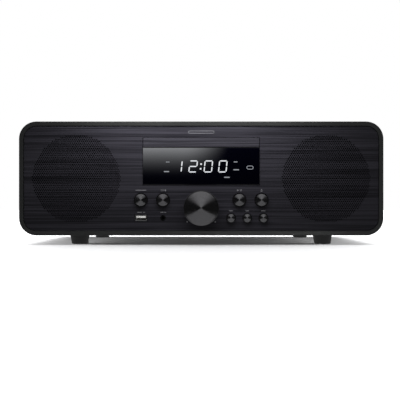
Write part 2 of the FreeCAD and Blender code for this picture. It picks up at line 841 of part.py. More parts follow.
def buttons():
    """Round keys: a cap through the panel, a flange that stops it falling out and a stem to its switch."""
    for node, (x, z, diameter) in zip(BUTTON_NAMES, button_places()):
        cap = f"{diameter} / 2"
        flange = f"({PANEL_BACK} - {PANEL} + 0.2)"
        stem_end = f"({SWITCH_TOP} - {PANEL} - button_travel - 0.1)"
        profile = [
            ("0", "-button_proud"),
            (f"{cap} - 0.5", "-button_proud"),
            (cap, "-button_proud + 0.5"),
            (cap, flange),
            (f"{cap} + 1.3", flange),
            (f"{cap} + 1.3", f"{flange} + 1.3"),
            ("2", f"{flange} + 1.3"),
            ("2", stem_end),
            ("0", stem_end),
        ]
        keep(node, turned(node + "_cap", profile, "Y", x, PANEL, z))


def volume_control():
    """The large turned knob on the shaft of a rotary encoder."""
    length = "(knob_length - 0.8)"
    bore = "(shaft_diameter / 2 + running_gap)"
    outer = "(knob_diameter / 2)"
    profile = [
        ("0", f"-{length}"),
        (f"{outer} - 1", f"-{length}"),
        (outer, f"-{length} + 1"),
        (outer, "0"),
        (f"{outer} - knob_wall", "0"),
        (f"{outer} - knob_wall", f"-{length} + 3"),
        ("6", f"-{length} + 3"),
        ("6", "-1"),
        (bore, "-1"),
        (bore, f"-{length} + 3"),
        ("0", f"-{length} + 3"),
    ]
    keep("volume_knob", turned("VolumeKnob", profile, "Y", "0", f"{PANEL} - 0.8", KNOB_Z))
    shaft_start = f"({PANEL} - 0.8 - {length} + 3.2)"
    keep(
        "encoder_shaft",
        cylinder(
            "EncoderShaft", "Y", ("0", KNOB_Z), shaft_start, f"{BOARD_FRONT} - 2", "shaft_diameter / 2"
        )
    )
    case = box(
        "EncoderCase", ("-6", "6"), (f"{BOARD_FRONT} - 6.5", BOARD_FRONT),
        (f"{KNOB_Z} - 6.5", f"{KNOB_Z} + 6.5")
    )
    bush = cylinder("EncoderBush", "Y", ("0", KNOB_Z), f"{PANEL_BACK}", f"{BOARD_FRONT} - 6", "4.4")
    hole = cylinder("EncoderBore", "Y", ("0", KNOB_Z), f"{PANEL_BACK} - 1", f"{BOARD_FRONT} - 1.5", bore)
    keep("encoder_body", cut("EncoderBody", fuse("EncoderSolid", case, bush), hole))


def front_sockets():
    """The USB socket and the 3.5 mm line input."""
    x, z = "(-button_outer_offset)", SMALL_Z
    back = BOARD_FRONT
    shell = box(
        "UsbTube", (f"{x} - 6.6", f"{x} + 6.6"), (f"{PANEL} + 0.3", back), (f"{z} - 2.95", f"{z} + 2.95")
    )
    lip = box(
        "UsbLip", (f"{x} - 7.3", f"{x} + 7.3"), (f"{PANEL} + 0.3", f"{PANEL} + 0.8"),
        (f"{z} - 3.7", f"{z} + 3.7")
    )
    mouth = box(
        "UsbMouth", (f"{x} - 6.25", f"{x} + 6.25"), (f"{PANEL}", f"{back} - 0.4"),
        (f"{z} - 2.56", f"{z} + 2.56")
    )
    keep("usb_socket", cut("UsbSocket", fuse("UsbOutside", shell, lip), mouth))
    tongue = box(
        "UsbTongueBlade", (f"{x} - 5.5", f"{x} + 5.5"), (f"{PANEL} + 2", f"{back} - 3"),
        (f"{z} + 0.3", f"{z} + 2.2")
    )
    root = box(
        "UsbTongueRoot", (f"{x} - 6.2", f"{x} + 6.2"), (f"{back} - 3.4", f"{back} - 0.45"),
        (f"{z} - 2.5", f"{z} + 2.5")
    )
    keep("usb_tongue", fuse("UsbTongue", tongue, root))
    x = "(-button_inner_offset)"
    block = box(
        "JackBlock", (f"{x} - 4.5", f"{x} + 4.5"), (f"{PANEL_BACK} + 0.4", back),
        (f"{z} - 4.5", f"{z} + 4.5")
    )
    collar = cylinder("JackCollar", "Y", (x, z), f"{PANEL} - 0.2", f"{PANEL_BACK} + 0.6", "3")
    bore = cylinder("JackBore", "Y", (x, z), f"{PANEL} - 1", f"{back} - 1", "1.8")
    keep("line_in_jack", cut("LineInJack", fuse("JackOutside", block, collar), bore))


def control_board():
    """The board behind the keys, on the front panel's posts, with a tact switch for each key."""
    board = box(
        "ControlBoard", ("-(bay_half_width - 1.5)", "bay_half_width - 1.5"),
        (BOARD_FRONT, f"{BOARD_FRONT} + 1.6"), (f"{INSIDE_BOTTOM} + 1.8", f"{BUTTON_Z} + 10.5"),
    )
    drilled = cut(
        "ControlBoardDrilled", board, *stake_holes("ControlBoardHole", board_posts(), BOARD_FRONT)
    )
    switches = []
    for i, (x, z, _) in enumerate(button_places()):
        case = box(
            f"SwitchCase{i}", (f"{x} - 3", f"{x} + 3"), (f"{SWITCH_TOP} + 1.5", BOARD_FRONT),
            (f"{z} - 3", f"{z} + 3")
        )
        plunger = cylinder(f"SwitchPlunger{i}", "Y", (x, z), SWITCH_TOP, f"{SWITCH_TOP} + 2", "1.7")
        switches.append(fuse(f"Switch{i}", case, plunger))
    keep("control_board", group("ControlBoardWithSwitches", drilled, *switches))


# ---------------------------------------------------------------- CD drawer and loader


def drawer():
    """The sliding drawer: a flat tray with the disc's recess, a slot for the hub and lens, and a rack."""
    body = new_body("CdTray")
    front, back = f"({PANEL} + tray_front_thickness)", f"({PANEL} + tray_front_thickness + tray_length)"
    outline = new_sketch(body, "XY", TRAY_UNDER)
    rectangle(outline, ("-tray_width / 2", "tray_width / 2"), (front, back))
    pad(body, outline, "tray_thickness")
    recess = new_sketch(body, "XY", TRAY_TOP)
    circle(recess, "0", DISC_Y, "disc_diameter / 2 + loader_fit")
    pocket(body, recess, "disc_recess", away=True)
    small_disc = new_sketch(body, "XY", f"{TRAY_TOP} - disc_recess")
    circle(small_disc, "0", DISC_Y, "disc_diameter / 3 + loader_fit")
    pocket(body, small_disc, "0.8", away=True)
    slot = new_sketch(body, "XY", TRAY_UNDER)
    rectangle(slot, ("-tray_slot / 2", "tray_slot / 2"), (f"{DISC_Y} - tray_slot / 2", f"{back} + 1"))
    pocket(body, slot)
    upright = along(Vector(0, 0, 1), "tray_slot / 2 - 0.1")

    def slot_corner(edge):
        at = edge.CenterOfMass
        return upright(edge) and at.y < number(DISC_Y) and abs(at.x) < number("tray_width / 4")

    fillet(body, "3", slot_corner)
    doc.recompute()
    gear_y = number(GEAR_Y)
    first, last = gear_y - 5, gear_y + number("tray_travel") + 10
    low, high = number(TRAY_LOW) + 0.2, number(TRAY_UNDER)
    points = rack_outline(RACK_MODULE, 4.4, first, last, gear_y)
    rack = solid_feature("TrayRack", prism(points, low, high), f"{GEAR_X} - {RACK_MODULE * RACK_TEETH / 2}")
    keep("cd_tray", fuse("CdTrayWithRack", body, rack))
    half = f"({SLOT_HALF} - tray_gap)"
    face = new_body("TrayFront")
    outline = new_sketch(face, "XZ", PANEL)
    rectangle(outline, ("-" + half, half), (TRAY_LOW, TRAY_HIGH))
    pad(face, outline, "tray_front_thickness")
    fillet(face, "0.5", lambda e: abs(e.BoundBox.YMax - number(PANEL)) < 0.01)
    keep("tray_front", face)


def loader_base():
    """The fixed chassis under the drawer, with guide rails, hinge lugs and gear posts."""
    y = (LOADER_FRONT, LOADER_BACK)
    plate = box("LoaderFloor", ("-" + LOADER_OUTSIDE, LOADER_OUTSIDE), y, (FLOOR_LOW, FLOOR_TOP))
    pieces = [plate]
    for side, sign in MIRROR:
        def span(low, high):
            return (low, high) if sign == "" else (f"-({high})", f"-({low})")

        pieces.append(
            box(f"LoaderWall_{side}", span(LOADER_INSIDE, LOADER_OUTSIDE), y, (FLOOR_LOW, BRIDGE_LOW))
        )
        pieces.append(box(f"LoaderLedge_{side}", span(f"{LOADER_INSIDE} - 4", f"{LOADER_INSIDE} + 1"), y,
                          (f"{TRAY_UNDER} - 2.1", f"{TRAY_UNDER} - 0.2")))
        pieces.append(box(f"LoaderLip_{side}", span(f"{LOADER_INSIDE} - 3", f"{LOADER_INSIDE} + 1"), y,
                          (f"{TRAY_TOP} + 0.2", f"{TRAY_TOP} + 1.7")))
        pieces.append(box(f"LoaderLug_{side}", span("41.3", "46"), (f"{HINGE_Y} - 4", f"{HINGE_Y} + 4"),
                          (f"{FLOOR_TOP} - 6.4", FLOOR_TOP)))
    pieces.append(cylinder("GearPost", "Z", (GEAR_X, GEAR_Y), FLOOR_LOW, f"{TRAY_UNDER} - 0.6", "2"))
    opening = box(
        "LoaderOpening", ("-41", "41"), (f"{LOADER_FRONT} + 30", f"{HINGE_Y} + 4"),
        (f"{FLOOR_LOW} - 1", f"{FLOOR_TOP} + 1")
    )
    base = cut("LoaderOpened", fuse("LoaderSolid", *pieces), opening)
    hinge = cylinder("HingeBore", "X", (HINGE_Y, HINGE_Z), "-47", "47", "2 + running_gap")
    shaft = cylinder(
        "PinionBore", "Z", (PINION_X, GEAR_Y), f"{FLOOR_LOW} - 1", f"{FLOOR_TOP} + 1", "1.9 + running_gap"
    )
    motor = cylinder("MotorBore", "Z", (MOTOR_X, MOTOR_Y), f"{FLOOR_LOW} - 1", f"{FLOOR_TOP} + 1", "4.2")
    keep("loader_base", cut("LoaderBase", base, hinge, shaft, motor))


HINGE_Y = f"({PANEL} + tray_front_thickness + tray_length - 8)"
HINGE_Z = f"({FLOOR_LOW} - 0.4)"
PINION_X = f"({GEAR_X} + {TRAIN_MODULE * (TRAIN_TEETH + PINION_TEETH) / 2} + gear_play)"
MOTOR_X, MOTOR_Y = "(8)", f"({GEAR_Y} + 3)"


def loader_brackets():
    """Two folded steel angles that hang the loader between the dividers."""
    angles = []
    for side, sign in MIRROR:
        def span(low, high):
            return (low, high) if sign == "" else (f"-({high})", f"-({low})")

        y = (f"{LOADER_FRONT} + 6", f"{LOADER_BACK} - 6")
        shelf = box(f"BracketShelf_{side}", span(f"{LOADER_OUTSIDE} - 8", "bay_half_width + 3.8"), y,
                    (f"{FLOOR_LOW} - 1.2", FLOOR_LOW))
        flange = box(f"BracketFlange_{side}", span("bay_half_width + 2.6", "bay_half_width + 3.8"), y,
                     (f"{FLOOR_LOW} - 16", f"{FLOOR_LOW} - 1"))
        angles.append(fuse(f"Bracket_{side}", shelf, flange))
    keep("loader_brackets", group("LoaderBrackets", *angles))


def gear_train():
    """Drawer gear, pulley with its pinion, motor pulley, belt and motor."""
    floor = number(FLOOR_TOP)
    low_tier = (floor + 0.4, floor + 3.4)
    high_tier = (floor + 3.4, number(TRAY_UNDER) - 0.4)
    wheel = prism(gear_outline(TRAIN_MODULE, TRAIN_TEETH), *low_tier)
    upper = prism(gear_outline(RACK_MODULE, RACK_TEETH), *high_tier)
    bored = wheel.fuse(upper).cut(bar(2 + number("running_gap"), floor, high_tier[1] + 1))
    keep("tray_gear", solid_feature("TrayGear", bored, GEAR_X, GEAR_Y))

    pulley_low, pulley_high = floor - 6.4, floor - 2.8
    half_turn = math.pi / PINION_TEETH
    pinion = prism(gear_outline(TRAIN_MODULE, PINION_TEETH, half_turn), *low_tier)
    rim = pulley(12, 11, pulley_low, pulley_high)
    spindle = bar(1.9, pulley_high - 0.5, low_tier[0] + 0.5)
    keep("pulley_gear", solid_feature("PulleyGear", pinion.fuse([rim, spindle]), PINION_X, GEAR_Y))

    small = pulley(3.6, 2.9, pulley_low, pulley_high)
    keep(
        "motor_pulley",
        solid_feature("MotorPulley", small.fuse(bar(1, pulley_low - 12, pulley_low + 1)), MOTOR_X, MOTOR_Y)
    )
    can = bar(10, pulley_low - 25, pulley_low - 0.6)
    keep(
        "loading_motor",
        solid_feature("LoadingMotor", can.cut(bar(1.05, pulley_low - 13, pulley_low)), MOTOR_X, MOTOR_Y)
    )

    start = Vector(0, 0, pulley_low + 1.2)
    run = Vector(number(MOTOR_X) - number(PINION_X), number(MOTOR_Y) - number(GEAR_Y), 0)
    filled = Part.Face(belt_loop(12.15, 4.05, start, run)).extrude(Vector(0, 0, 1.2))
    middle = Part.Face(belt_loop(11.15, 3.05, start, run)).extrude(Vector(0, 0, 1.2))
    keep("loading_belt", solid_feature("LoadingBelt", filled.cut(middle).Solids[0], PINION_X, GEAR_Y))


def pulley(rim, groove, low, high):
    """A wheel with a square groove round its middle."""
    wheel = bar(rim, low, high)
    ring = bar(rim + 1, low + 1, high - 1).cut(bar(groove, low, high))
    return wheel.cut(ring)


def belt_loop(first, second, start, run):
    """The outline of a tight band round two circles, the first at start and the second at run from it."""
    lean = math.acos((first - second) / run.Length)
    heading = math.atan2(run.y, run.x)

    def on(radius, centre, angle):
        return centre + Vector(radius * math.cos(angle), radius * math.sin(angle), 0)

    a, b = on(first, start, heading + lean), on(first, start, heading - lean)
    c, d = on(second, start + run, heading - lean), on(second, start + run, heading + lean)
    return Part.Wire([
        Part.Arc(a, on(first, start, heading + math.pi), b).toShape(),
        Part.LineSegment(b, c).toShape(),
        Part.Arc(c, on(second, start + run, heading), d).toShape(),
        Part.LineSegment(d, a).toShape(),
    ])


def traverse():
    """The hinged frame that carries the spindle motor, the lens sled and its rods."""
    low, high = f"({FLOOR_TOP} - 3.9)", f"({FLOOR_TOP} - 0.9)"
    front, back = f"({LOADER_FRONT} + 31.5)", f"({HINGE_Y} + 2.4)"
    plate = box("TraversePlate", ("-38", "38"), (front, back), (low, high))
    posts = []
    for i, (x, y) in enumerate((x, y) for x in (-20, 20) for y in (f"{DISC_Y} + 5", f"{HINGE_Y} - 6")):
        posts.append(
            box(
                f"RodPost{i}", (f"{x} - 2.8", f"{x} + 2.8"), (y, f"{y} + 3"),
                (f"{high} - 0.5", f"{ROD_Z} + 2.6")
            )
        )
    hinge = cylinder("TraversePin", "X", (HINGE_Y, HINGE_Z), "-44.5", "44.5", "2")
    window = box(
        "SledWindow", ("-17", "17"), (f"{DISC_Y} + 9", f"{HINGE_Y} - 8"), (f"{low} - 1", f"{high} + 1")
    )
    motor_hole = cylinder("SpindleHole", "Z", ("0", DISC_Y), f"{low} - 1", f"{high} + 1", "4.2")
    stub_hole = cylinder(
        "FeedStubHole", "Z", (FEED_X, FEED_Y), f"{low} - 1", f"{high} + 1", "1 + running_gap"
    )
    rod_bores = [
        cylinder(f"RodBore{i}", "Y", (x, ROD_Z), f"{DISC_Y} + 4", f"{HINGE_Y} - 2", "1.5 + screw_gap")
        for i, x in enumerate(("-20", "20"))
    ]
    solid = fuse("TraverseSolid", plate, hinge, *posts)
    keep("traverse_frame", cut("TraverseFrame", solid, window, motor_hole, stub_hole, *rod_bores))
    rods = [
        cylinder(f"GuideRod{i}", "Y", (x, ROD_Z), f"{DISC_Y} + 5", f"{HINGE_Y} - 3", "1.5")
        for i, x in enumerate(("-20", "20"))
    ]
    keep("guide_rods", group("GuideRods", *rods))

    bore = "(1.5 + running_gap)"
    spindle = [(bore, "-7"), ("12", "-7"), ("12", "0"), ("4", "0"), ("4", "4"), (bore, "4")]
    keep("spindle_motor", turned("SpindleMotor", spindle, "Z", "0", DISC_Y, low))
    seat = f"({TRAY_TOP} - disc_recess + 0.8)"
    hub = [
        ("0", f"{low} - 6"), ("1.5", f"{low} - 6"), ("1.5", f"{low} + 6"), ("5", f"{low} + 6"),
        ("5", f"{seat} - 2"), ("15", f"{seat} - 2"), ("15", seat), ("7.4", seat), ("6.6", f"{seat} + 2"),
        ("0", f"{seat} + 2"),
    ]
    keep("turntable_hub", turned("TurntableHub", hub, "Z", "0", DISC_Y, "0"))


ROD_Z = f"({FLOOR_TOP} + 0.9)"
SLED_Y = f"({DISC_Y} + 25)"
FEED_X = f"(25 + {FEED_MODULE * FEED_TEETH / 2})"
FEED_Y = f"({DISC_Y} + 44)"


def laser_sled():
    """The lens carriage on its two rods, with a rack for the feed gear."""
    block = box(
        "SledBlock", ("-15", "15"), (f"{SLED_Y} - 11", f"{SLED_Y} + 11"),
        (f"{FLOOR_TOP} - 8", f"{FLOOR_TOP} + 4.5")
    )
    arms = box(
        "SledArms", ("-23", "23.6"), (f"{SLED_Y} - 9", f"{SLED_Y} + 9"),
        (f"{ROD_Z} - 1.6", f"{ROD_Z} + 2.6")
    )
    turret = cylinder("SledTurret", "Z", ("0", SLED_Y), f"{FLOOR_TOP} + 4", f"{FLOOR_TOP} + 6.5", "7")
    lens = cylinder("SledLens", "Z", ("0", SLED_Y), f"{FLOOR_TOP} + 6", f"{TRAY_UNDER} + 0.4", "2.6")
    bores = [
        cylinder(f"SledBore{i}", "Y", (x, ROD_Z), f"{SLED_Y} - 14", f"{SLED_Y} + 14", "1.5 + running_gap")
        for i, x in enumerate(("-20", "20"))
    ]
    doc.recompute()
    gear_y, rod = number(FEED_Y), number(ROD_Z)
    points = rack_outline(FEED_MODULE, 2.0, gear_y - 37, gear_y + 4, gear_y)
    rack = solid_feature("SledRack", prism(points, rod - 1.2, rod + 1.6), "25")
    keep("laser_sled", cut("LaserSled", fuse("SledSolid", block, arms, turret, lens, rack), *bores))
    wheel = prism(gear_outline(FEED_MODULE, FEED_TEETH), rod - 1.4, rod + 1.8)
    stub = bar(1, number(FLOOR_TOP) - 3.8, rod)
    keep("feed_gear", solid_feature("FeedGear", wheel.fuse(stub), FEED_X, FEED_Y))


def clamp():
    """The bridge over the drawer and the round clamp that hangs in it."""
    bridge = box(
        "ClampStrip", ("-" + LOADER_OUTSIDE, LOADER_OUTSIDE), (f"{DISC_Y} - 16", f"{DISC_Y} + 16"),
        (BRIDGE_LOW, f"{BRIDGE_LOW} + 1")
    )
    hole = cylinder("ClampHole", "Z", ("0", DISC_Y), f"{BRIDGE_LOW} - 1", f"{BRIDGE_LOW} + 2", "9.6")
    keep("clamp_bridge", cut("ClampBridge", bridge, hole))
    low = f"({TRAY_TOP} + 0.3)"
    profile = [
        ("8.2", low), ("13", low), ("13", f"{low} + 1.6"), ("9", f"{low} + 1.6"),
        ("9", f"{BRIDGE_LOW} + 1.3"),
        ("13", f"{BRIDGE_LOW} + 1.3"), ("13", f"{BRIDGE_LOW} + 2.8"), ("0", f"{BRIDGE_LOW} + 2.8"),
        ("0", f"{low} + 2.2"), ("8.2", f"{low} + 2.2"),
    ]
    keep("disc_clamp", turned("DiscClamp", profile, "Z", "0", DISC_Y, "0"))


# ---------------------------------------------------------------- speakers


def speakers():
    """Two cone drivers on the back of the baffle: basket, magnet, surround and a cone that travels."""
    magnets, surrounds, screws = [], [], []
    cone = "cone_diameter / 2"
    for side, sign in MIRROR:
        x = f"({sign}(speaker_spacing / 2))"
        rim, seat = "driver_diameter / 2", "driver_cutout / 2 - 0.8"
        basket = turned(f"Basket_{side}", [
            (rim, "0"), (rim, "1.6"), (f"{seat} + 1", "1.6"), ("28.5", "24"), ("12.9", "24"),
            ("12.9", "22.2"), ("27.3", "22.2"), (f"{seat} - 2", "3"), (f"{seat} - 2", "1.4"),
            (seat, "1.4"), (seat, "0"),
        ], "Y", x, BAFFLE_BACK, MIDDLE)
        doc.recompute()
        slots = []
        for i in range(4):
            slot = Part.makeBox(60, 12, 22)
            slot.translate(Vector(16, 5, -11))
            slot.rotate(Vector(), Vector(0, 1, 0), 90 * i)
            slots.append(slot)
        windows = solid_feature(f"BasketWindows_{side}", Part.makeCompound(slots), x, BAFFLE_BACK, MIDDLE)
        holes = [
            cylinder(f"BasketHole_{side}{i}", "Y", spot, f"{BAFFLE_BACK} - 1", f"{BAFFLE_BACK} + 3", "1.7")
            for i, spot in enumerate(driver_screw_places())
            if (number(spot[0]) > 0) == (sign == "")
        ]
        tag = box(
            f"BasketTag_{side}", (f"{x} - 5", f"{x} + 5"), (f"{BAFFLE_BACK} + 22.6", f"{BAFFLE_BACK} + 23.6"),
            (f"{MIDDLE} - 36", f"{MIDDLE} - 26"),
        )
        opened = cut(f"BasketOpen_{side}", basket, windows, *holes)
        keep(f"speaker_basket_{side}", fuse(f"BasketWithTag_{side}", opened, tag))
        magnets.append(turned(f"Magnet_{side}", [
            ("12.9", "24.1"), ("29", "24.1"), ("29", "38"), ("26", "38"), ("26", "41"), ("0", "41"),
            ("0", "24.5"), ("9.3", "24.5"), ("9.3", "37.5"), ("12.9", "37.5"),
        ], "Y", x, BAFFLE_BACK, MIDDLE))
        roll = f"({cone} + 2.9)"
        edge = [(f"{seat} - 0.2", "1.4"), (f"{seat} - 0.2", "0.7")]
        crown = [(f"{roll} + 2.6 * {math.cos(a):.5f}", f"1.4 - 2.6 * {math.sin(a):.5f}") for a in ARC[1:]]
        hollow = [
            (f"{roll} + 1.9 * {math.cos(a):.5f}", f"1.4 - 1.9 * {math.sin(a):.5f}") for a in reversed(ARC)
        ]
        surrounds.append(turned(f"Surround_{side}", edge + crown + hollow, "Y", x, BAFFLE_BACK, MIDDLE))
        keep(f"speaker_cone_{side}", turned(f"Cone_{side}", [
            ("0", "11.5"), ("7", "12.9"), ("12", "16.2"), (cone, "2.4"), (cone, "3.2"), ("12.2", "17.4"),
            ("11", "18.4"), ("11", "33"), ("10.3", "33"), ("10.3", "16.8"), ("6.6", "13.9"), ("0", "12.5"),
        ], "Y", x, BAFFLE_BACK, MIDDLE))
    for i, (x, z) in enumerate(driver_screw_places()):
        screws.append(turned(f"DriverScrew{i}", [
            ("0", "3.4"), ("2.4", "3.2"), ("3", "1.6"), ("1.5", "1.6"), ("1.5", "-5"), ("0", "-5.8"),
        ], "Y", x, BAFFLE_BACK, z))
    keep("speaker_magnets", group("SpeakerMagnets", *magnets))
    keep("speaker_surrounds", group("SpeakerSurrounds", *surrounds))
    keep("speaker_screws", group("SpeakerScrews", *screws))


ARC = [math.pi * step / 8 for step in range(9)]

# ---------------------------------------------------------------- electronics and rear sockets


def boards():
    """The main board with its heat sink and chips, and the mains power board with its transformer."""

    def along_y(*offsets):
        return tuple(f"({BOARDS_Y} + {offset})" for offset in offsets)

    def board_on_legs(name, x, y, inset):
        slab = box(name + "Slab", x, along_y(*y), (base, top))
        corners = [(f"({x[0]} + {inset})", f"({x[1]} - {inset})"), along_y(y[0] + 5, y[1] - 5)]
        places = [(u, v) for u in corners[0] for v in corners[1]]
        legs = [
            cylinder(f"{name}Leg{i}", "Z", place, INSIDE_BOTTOM, base, "3")
            for i, place in enumerate(places)
        ]
        return fuse(name + "OnLegs", slab, *legs)

    base = f"({INSIDE_BOTTOM} + 5)"
    top = f"({base} + 1.6)"
    bare = board_on_legs("Main", ("-76", "14"), (0, 105), 5)
    chips = [
        box("AmplifierChip", ("-50", "-30"), along_y(70, 84), (top, f"{top} + 2.4")),
        box("DecoderChip", ("-20", "-6"), along_y(30, 44), (top, f"{top} + 1.4")),
        box("RadioCan", ("-74", "-52"), along_y(30, 56), (top, f"{top} + 5")),
    ]
    for i, x in enumerate(("-60", "-46", "-32")):
        chips.append(cylinder(f"MainCapacitor{i}", "Z", (x, along_y(18)[0]), top, f"{top} + 16", "5"))
    keep("main_board", group("MainBoard", bare, *chips))
    foot = f"({top} + 2.4)"
    fins = [box("SinkBase", ("-56", "-24"), along_y(64, 90), (foot, f"{foot} + 3"))]
    for i in range(7):
        left = f"(-56 + 5 * {i})"
        fins.append(
            box(f"SinkFin{i}", (left, f"{left} + 1.6"), along_y(64, 90), (f"{foot} + 2", f"{foot} + 22"))
        )
    keep("heat_sink", fuse("HeatSink", *fins))
    keep("power_board", board_on_legs("Power", ("22", "76"), (0, 100), 5))
    core = box("TransformerCore", ("34", "64"), along_y(32, 58), (top, f"{top} + 24"))
    winding = box("TransformerWinding", ("30", "68"), along_y(36, 54), (f"{top} + 4", f"{top} + 20"))
    keep("transformer", fuse("Transformer", core, winding))


def rear_sockets():
    """The two-pin mains inlet and the threaded aerial socket."""
    x, z = MAINS
    flange = box(
        "MainsFlange", (f"{x} - 13.5", f"{x} + 13.5"), (REAR_FACE, f"{REAR_FACE} + 1.4"),
        (f"{z} - 8.5", f"{z} + 8.5")
    )
    block = box(
        "MainsBlock", (f"{x} - 11", f"{x} + 11"), (f"{REAR_FACE} - 16", f"{REAR_FACE} + 1"),
        (f"{z} - 6.5", f"{z} + 6.5")
    )
    bottom, mouth = f"({REAR_FACE} - 12.6)", f"({REAR_FACE} + 2)"
    rounds = [
        cylinder(f"MainsRound{i}", "Y", (f"{x} {s} 4.2", z), bottom, mouth, "4.3")
        for i, s in enumerate("-+")
    ]
    middle = box("MainsMiddle", (f"{x} - 4.2", f"{x} + 4.2"), (bottom, mouth), (f"{z} - 4.3", f"{z} + 4.3"))
    pin_holes = [
        cylinder(f"MainsPinHole{i}", "Y", (f"{x} {s} 4.3", z), f"{REAR_FACE} - 17", mouth, "1.2")
        for i, s in enumerate("-+")
    ]
    outside = fuse("MainsOutside", flange, block)
    keep("mains_inlet", cut("MainsInlet", outside, fuse("MainsCavity", middle, *rounds), *pin_holes))
    pins = [
        cylinder(
            f"MainsPin{i}", "Y", (f"{x} {s} 4.3", z), f"{REAR_FACE} - 19", f"{REAR_FACE} - 2.6",
            "1.2 - screw_gap"
        )
        for i, s in enumerate("-+")
    ]
    keep("mains_pins", group("MainsPins", *pins))
    x, z = AERIAL
    profile = [
        ("0", "-10"), ("4", "-10"), ("4", "0"), ("6.5", "0"), ("6.5", "2"), ("4.75", "2"),
        ("4.75", "socket_length"), ("1.4", "socket_length"), ("1.4", "socket_length - 8"),
        ("0", "socket_length - 8"),
    ]
    keep("aerial_socket", turned("AerialSocket", profile, "Y", x, REAR_FACE, z))


def speaker_leads():
    """A lead from the main board to each driver, through the divider."""
    base = number(f"{INSIDE_BOTTOM} + 6.6")
    hole_y, hole_z = number(LEAD_Y), number(LEAD_Z)
    driver_x, driver_y = number("speaker_spacing / 2"), number(BAFFLE_BACK)
    middle = number(MIDDLE)
    leads = []
    for side, turn in (("left", -1), ("right", 1)):
        start_x = -60 if turn < 0 else 8
        points = [
            Vector(start_x, hole_y, base + 0.3),
            Vector(start_x, hole_y - 2, hole_z + 10),
            Vector(turn * 62, hole_y - 1, hole_z + 6),
            Vector(turn * 87, hole_y, hole_z),
            Vector(turn * 112, hole_y - 2, hole_z + 1),
            Vector(turn * (driver_x - 10), driver_y + 82, middle - 35),
            Vector(turn * driver_x, driver_y + 24.2, middle - 33),
        ]
        leads.append(solid_feature(f"Lead_{side}", cable(points, 1.1)))
    keep("speaker_leads", group("SpeakerLeads", *leads))


# ---------------------------------------------------------------- build, check and write

BUILDERS = (
    cabinet_shell, feet, front_panel, front_baffle, grilles, dividers, rear_panel, reflex_ports,
    display, buttons, volume_control, front_sockets, control_board,
    drawer, loader_base, loader_brackets, gear_train, traverse, laser_sled, clamp,
    speakers, boards, rear_sockets, speaker_leads,
)


def check():
    """Stops if any object failed to build or any sub-part is not made of good solids."""
    doc.recompute()
    failed = [o.Label for o in doc.Objects if {"Invalid", "Error"} & set(o.State)]
    for node, thing in parts.items():
        shape = thing.Shape
        if shape.isNull() or not shape.isValid() or not shape.Solids or shape.Volume <= 0:
            failed.append(node)
    if failed:
        raise ValueError(f"these did not build: {failed}")


def write():
    os.makedirs("parts", exist_ok=True)
    for node, thing in parts.items():
        thing.Shape.exportStep(f"parts/{node}.step")


for build in BUILDERS:
    build()
check()
write()
print(f"{len(parts)} sub-parts written")
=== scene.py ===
import json
import math

import bmesh
import bpy
import numpy as np
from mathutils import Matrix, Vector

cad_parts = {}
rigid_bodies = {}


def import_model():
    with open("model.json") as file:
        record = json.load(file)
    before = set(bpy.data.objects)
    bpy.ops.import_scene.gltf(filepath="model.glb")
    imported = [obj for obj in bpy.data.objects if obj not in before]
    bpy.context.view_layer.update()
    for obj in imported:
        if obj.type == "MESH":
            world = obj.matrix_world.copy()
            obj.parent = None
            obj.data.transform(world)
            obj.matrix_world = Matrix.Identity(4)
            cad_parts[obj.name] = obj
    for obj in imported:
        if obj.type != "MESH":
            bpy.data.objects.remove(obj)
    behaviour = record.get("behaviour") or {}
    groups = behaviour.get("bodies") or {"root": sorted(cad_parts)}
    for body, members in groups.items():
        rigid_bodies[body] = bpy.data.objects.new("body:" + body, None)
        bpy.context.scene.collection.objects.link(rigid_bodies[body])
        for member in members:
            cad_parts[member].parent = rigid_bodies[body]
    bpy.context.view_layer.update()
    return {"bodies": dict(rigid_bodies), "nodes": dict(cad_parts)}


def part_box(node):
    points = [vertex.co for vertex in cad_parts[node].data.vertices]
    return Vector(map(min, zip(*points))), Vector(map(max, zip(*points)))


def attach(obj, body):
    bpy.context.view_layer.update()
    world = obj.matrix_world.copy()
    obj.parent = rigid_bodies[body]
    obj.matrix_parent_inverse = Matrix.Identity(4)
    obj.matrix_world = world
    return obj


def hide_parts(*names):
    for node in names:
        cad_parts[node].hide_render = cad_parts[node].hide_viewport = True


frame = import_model()
nodes = frame["nodes"]

# ------------------------------------------------------------------ room, light and camera
# A white studio: an endless pale floor under a bright ceiling, with dark space behind the
# viewer so that the black window and the turned metal have something to mirror.

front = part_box("cabinet_shell")[0][1]
scene = bpy.context.scene
scene.view_settings.view_transform = "Standard"
white = (1.0, 1.0, 1.0, 1.0)

camera_distance = 0.821
camera_height = 0.0415
camera_data = bpy.data.cameras.new("camera")
camera_data.lens = 64.2
camera_data.sensor_width = 36.0
camera_data.shift_x = -0.003
camera_data.shift_y = 0.0227
camera_data.clip_end = 60.0
camera = bpy.data.objects.new("camera", camera_data)
camera.location = (0.0, front - camera_distance, camera_height)
camera.rotation_euler = (math.radians(90), 0.0, 0.0)
scene.collection.objects.link(camera)
scene.camera = camera

world = bpy.data.worlds.new("studio")
world.use_nodes = True
scene.world = world
sky = world.node_tree
sky.nodes.clear()


def wired(tree, kind, **settings):
    """Adds a node, sets its properties by name, and returns it."""
    node = tree.nodes.new(kind)
    for key, value in settings.items():
        setattr(node, key, value)
    return node


def join(tree, start, end):
    """Links one socket to another."""
    tree.links.new(start, end)


def ramp(tree, value, start, end, low, high, rise="SMOOTHSTEP"):
    """A smooth or LINEAR rise from low to high, while the value goes from start to end."""
    node = wired(tree, "ShaderNodeMapRange", interpolation_type=rise)
    for label, number in (("From Min", start), ("From Max", end), ("To Min", low), ("To Max", high)):
        node.inputs[label].default_value = number
    join(tree, value, node.inputs["Value"])
    return node.outputs[0]


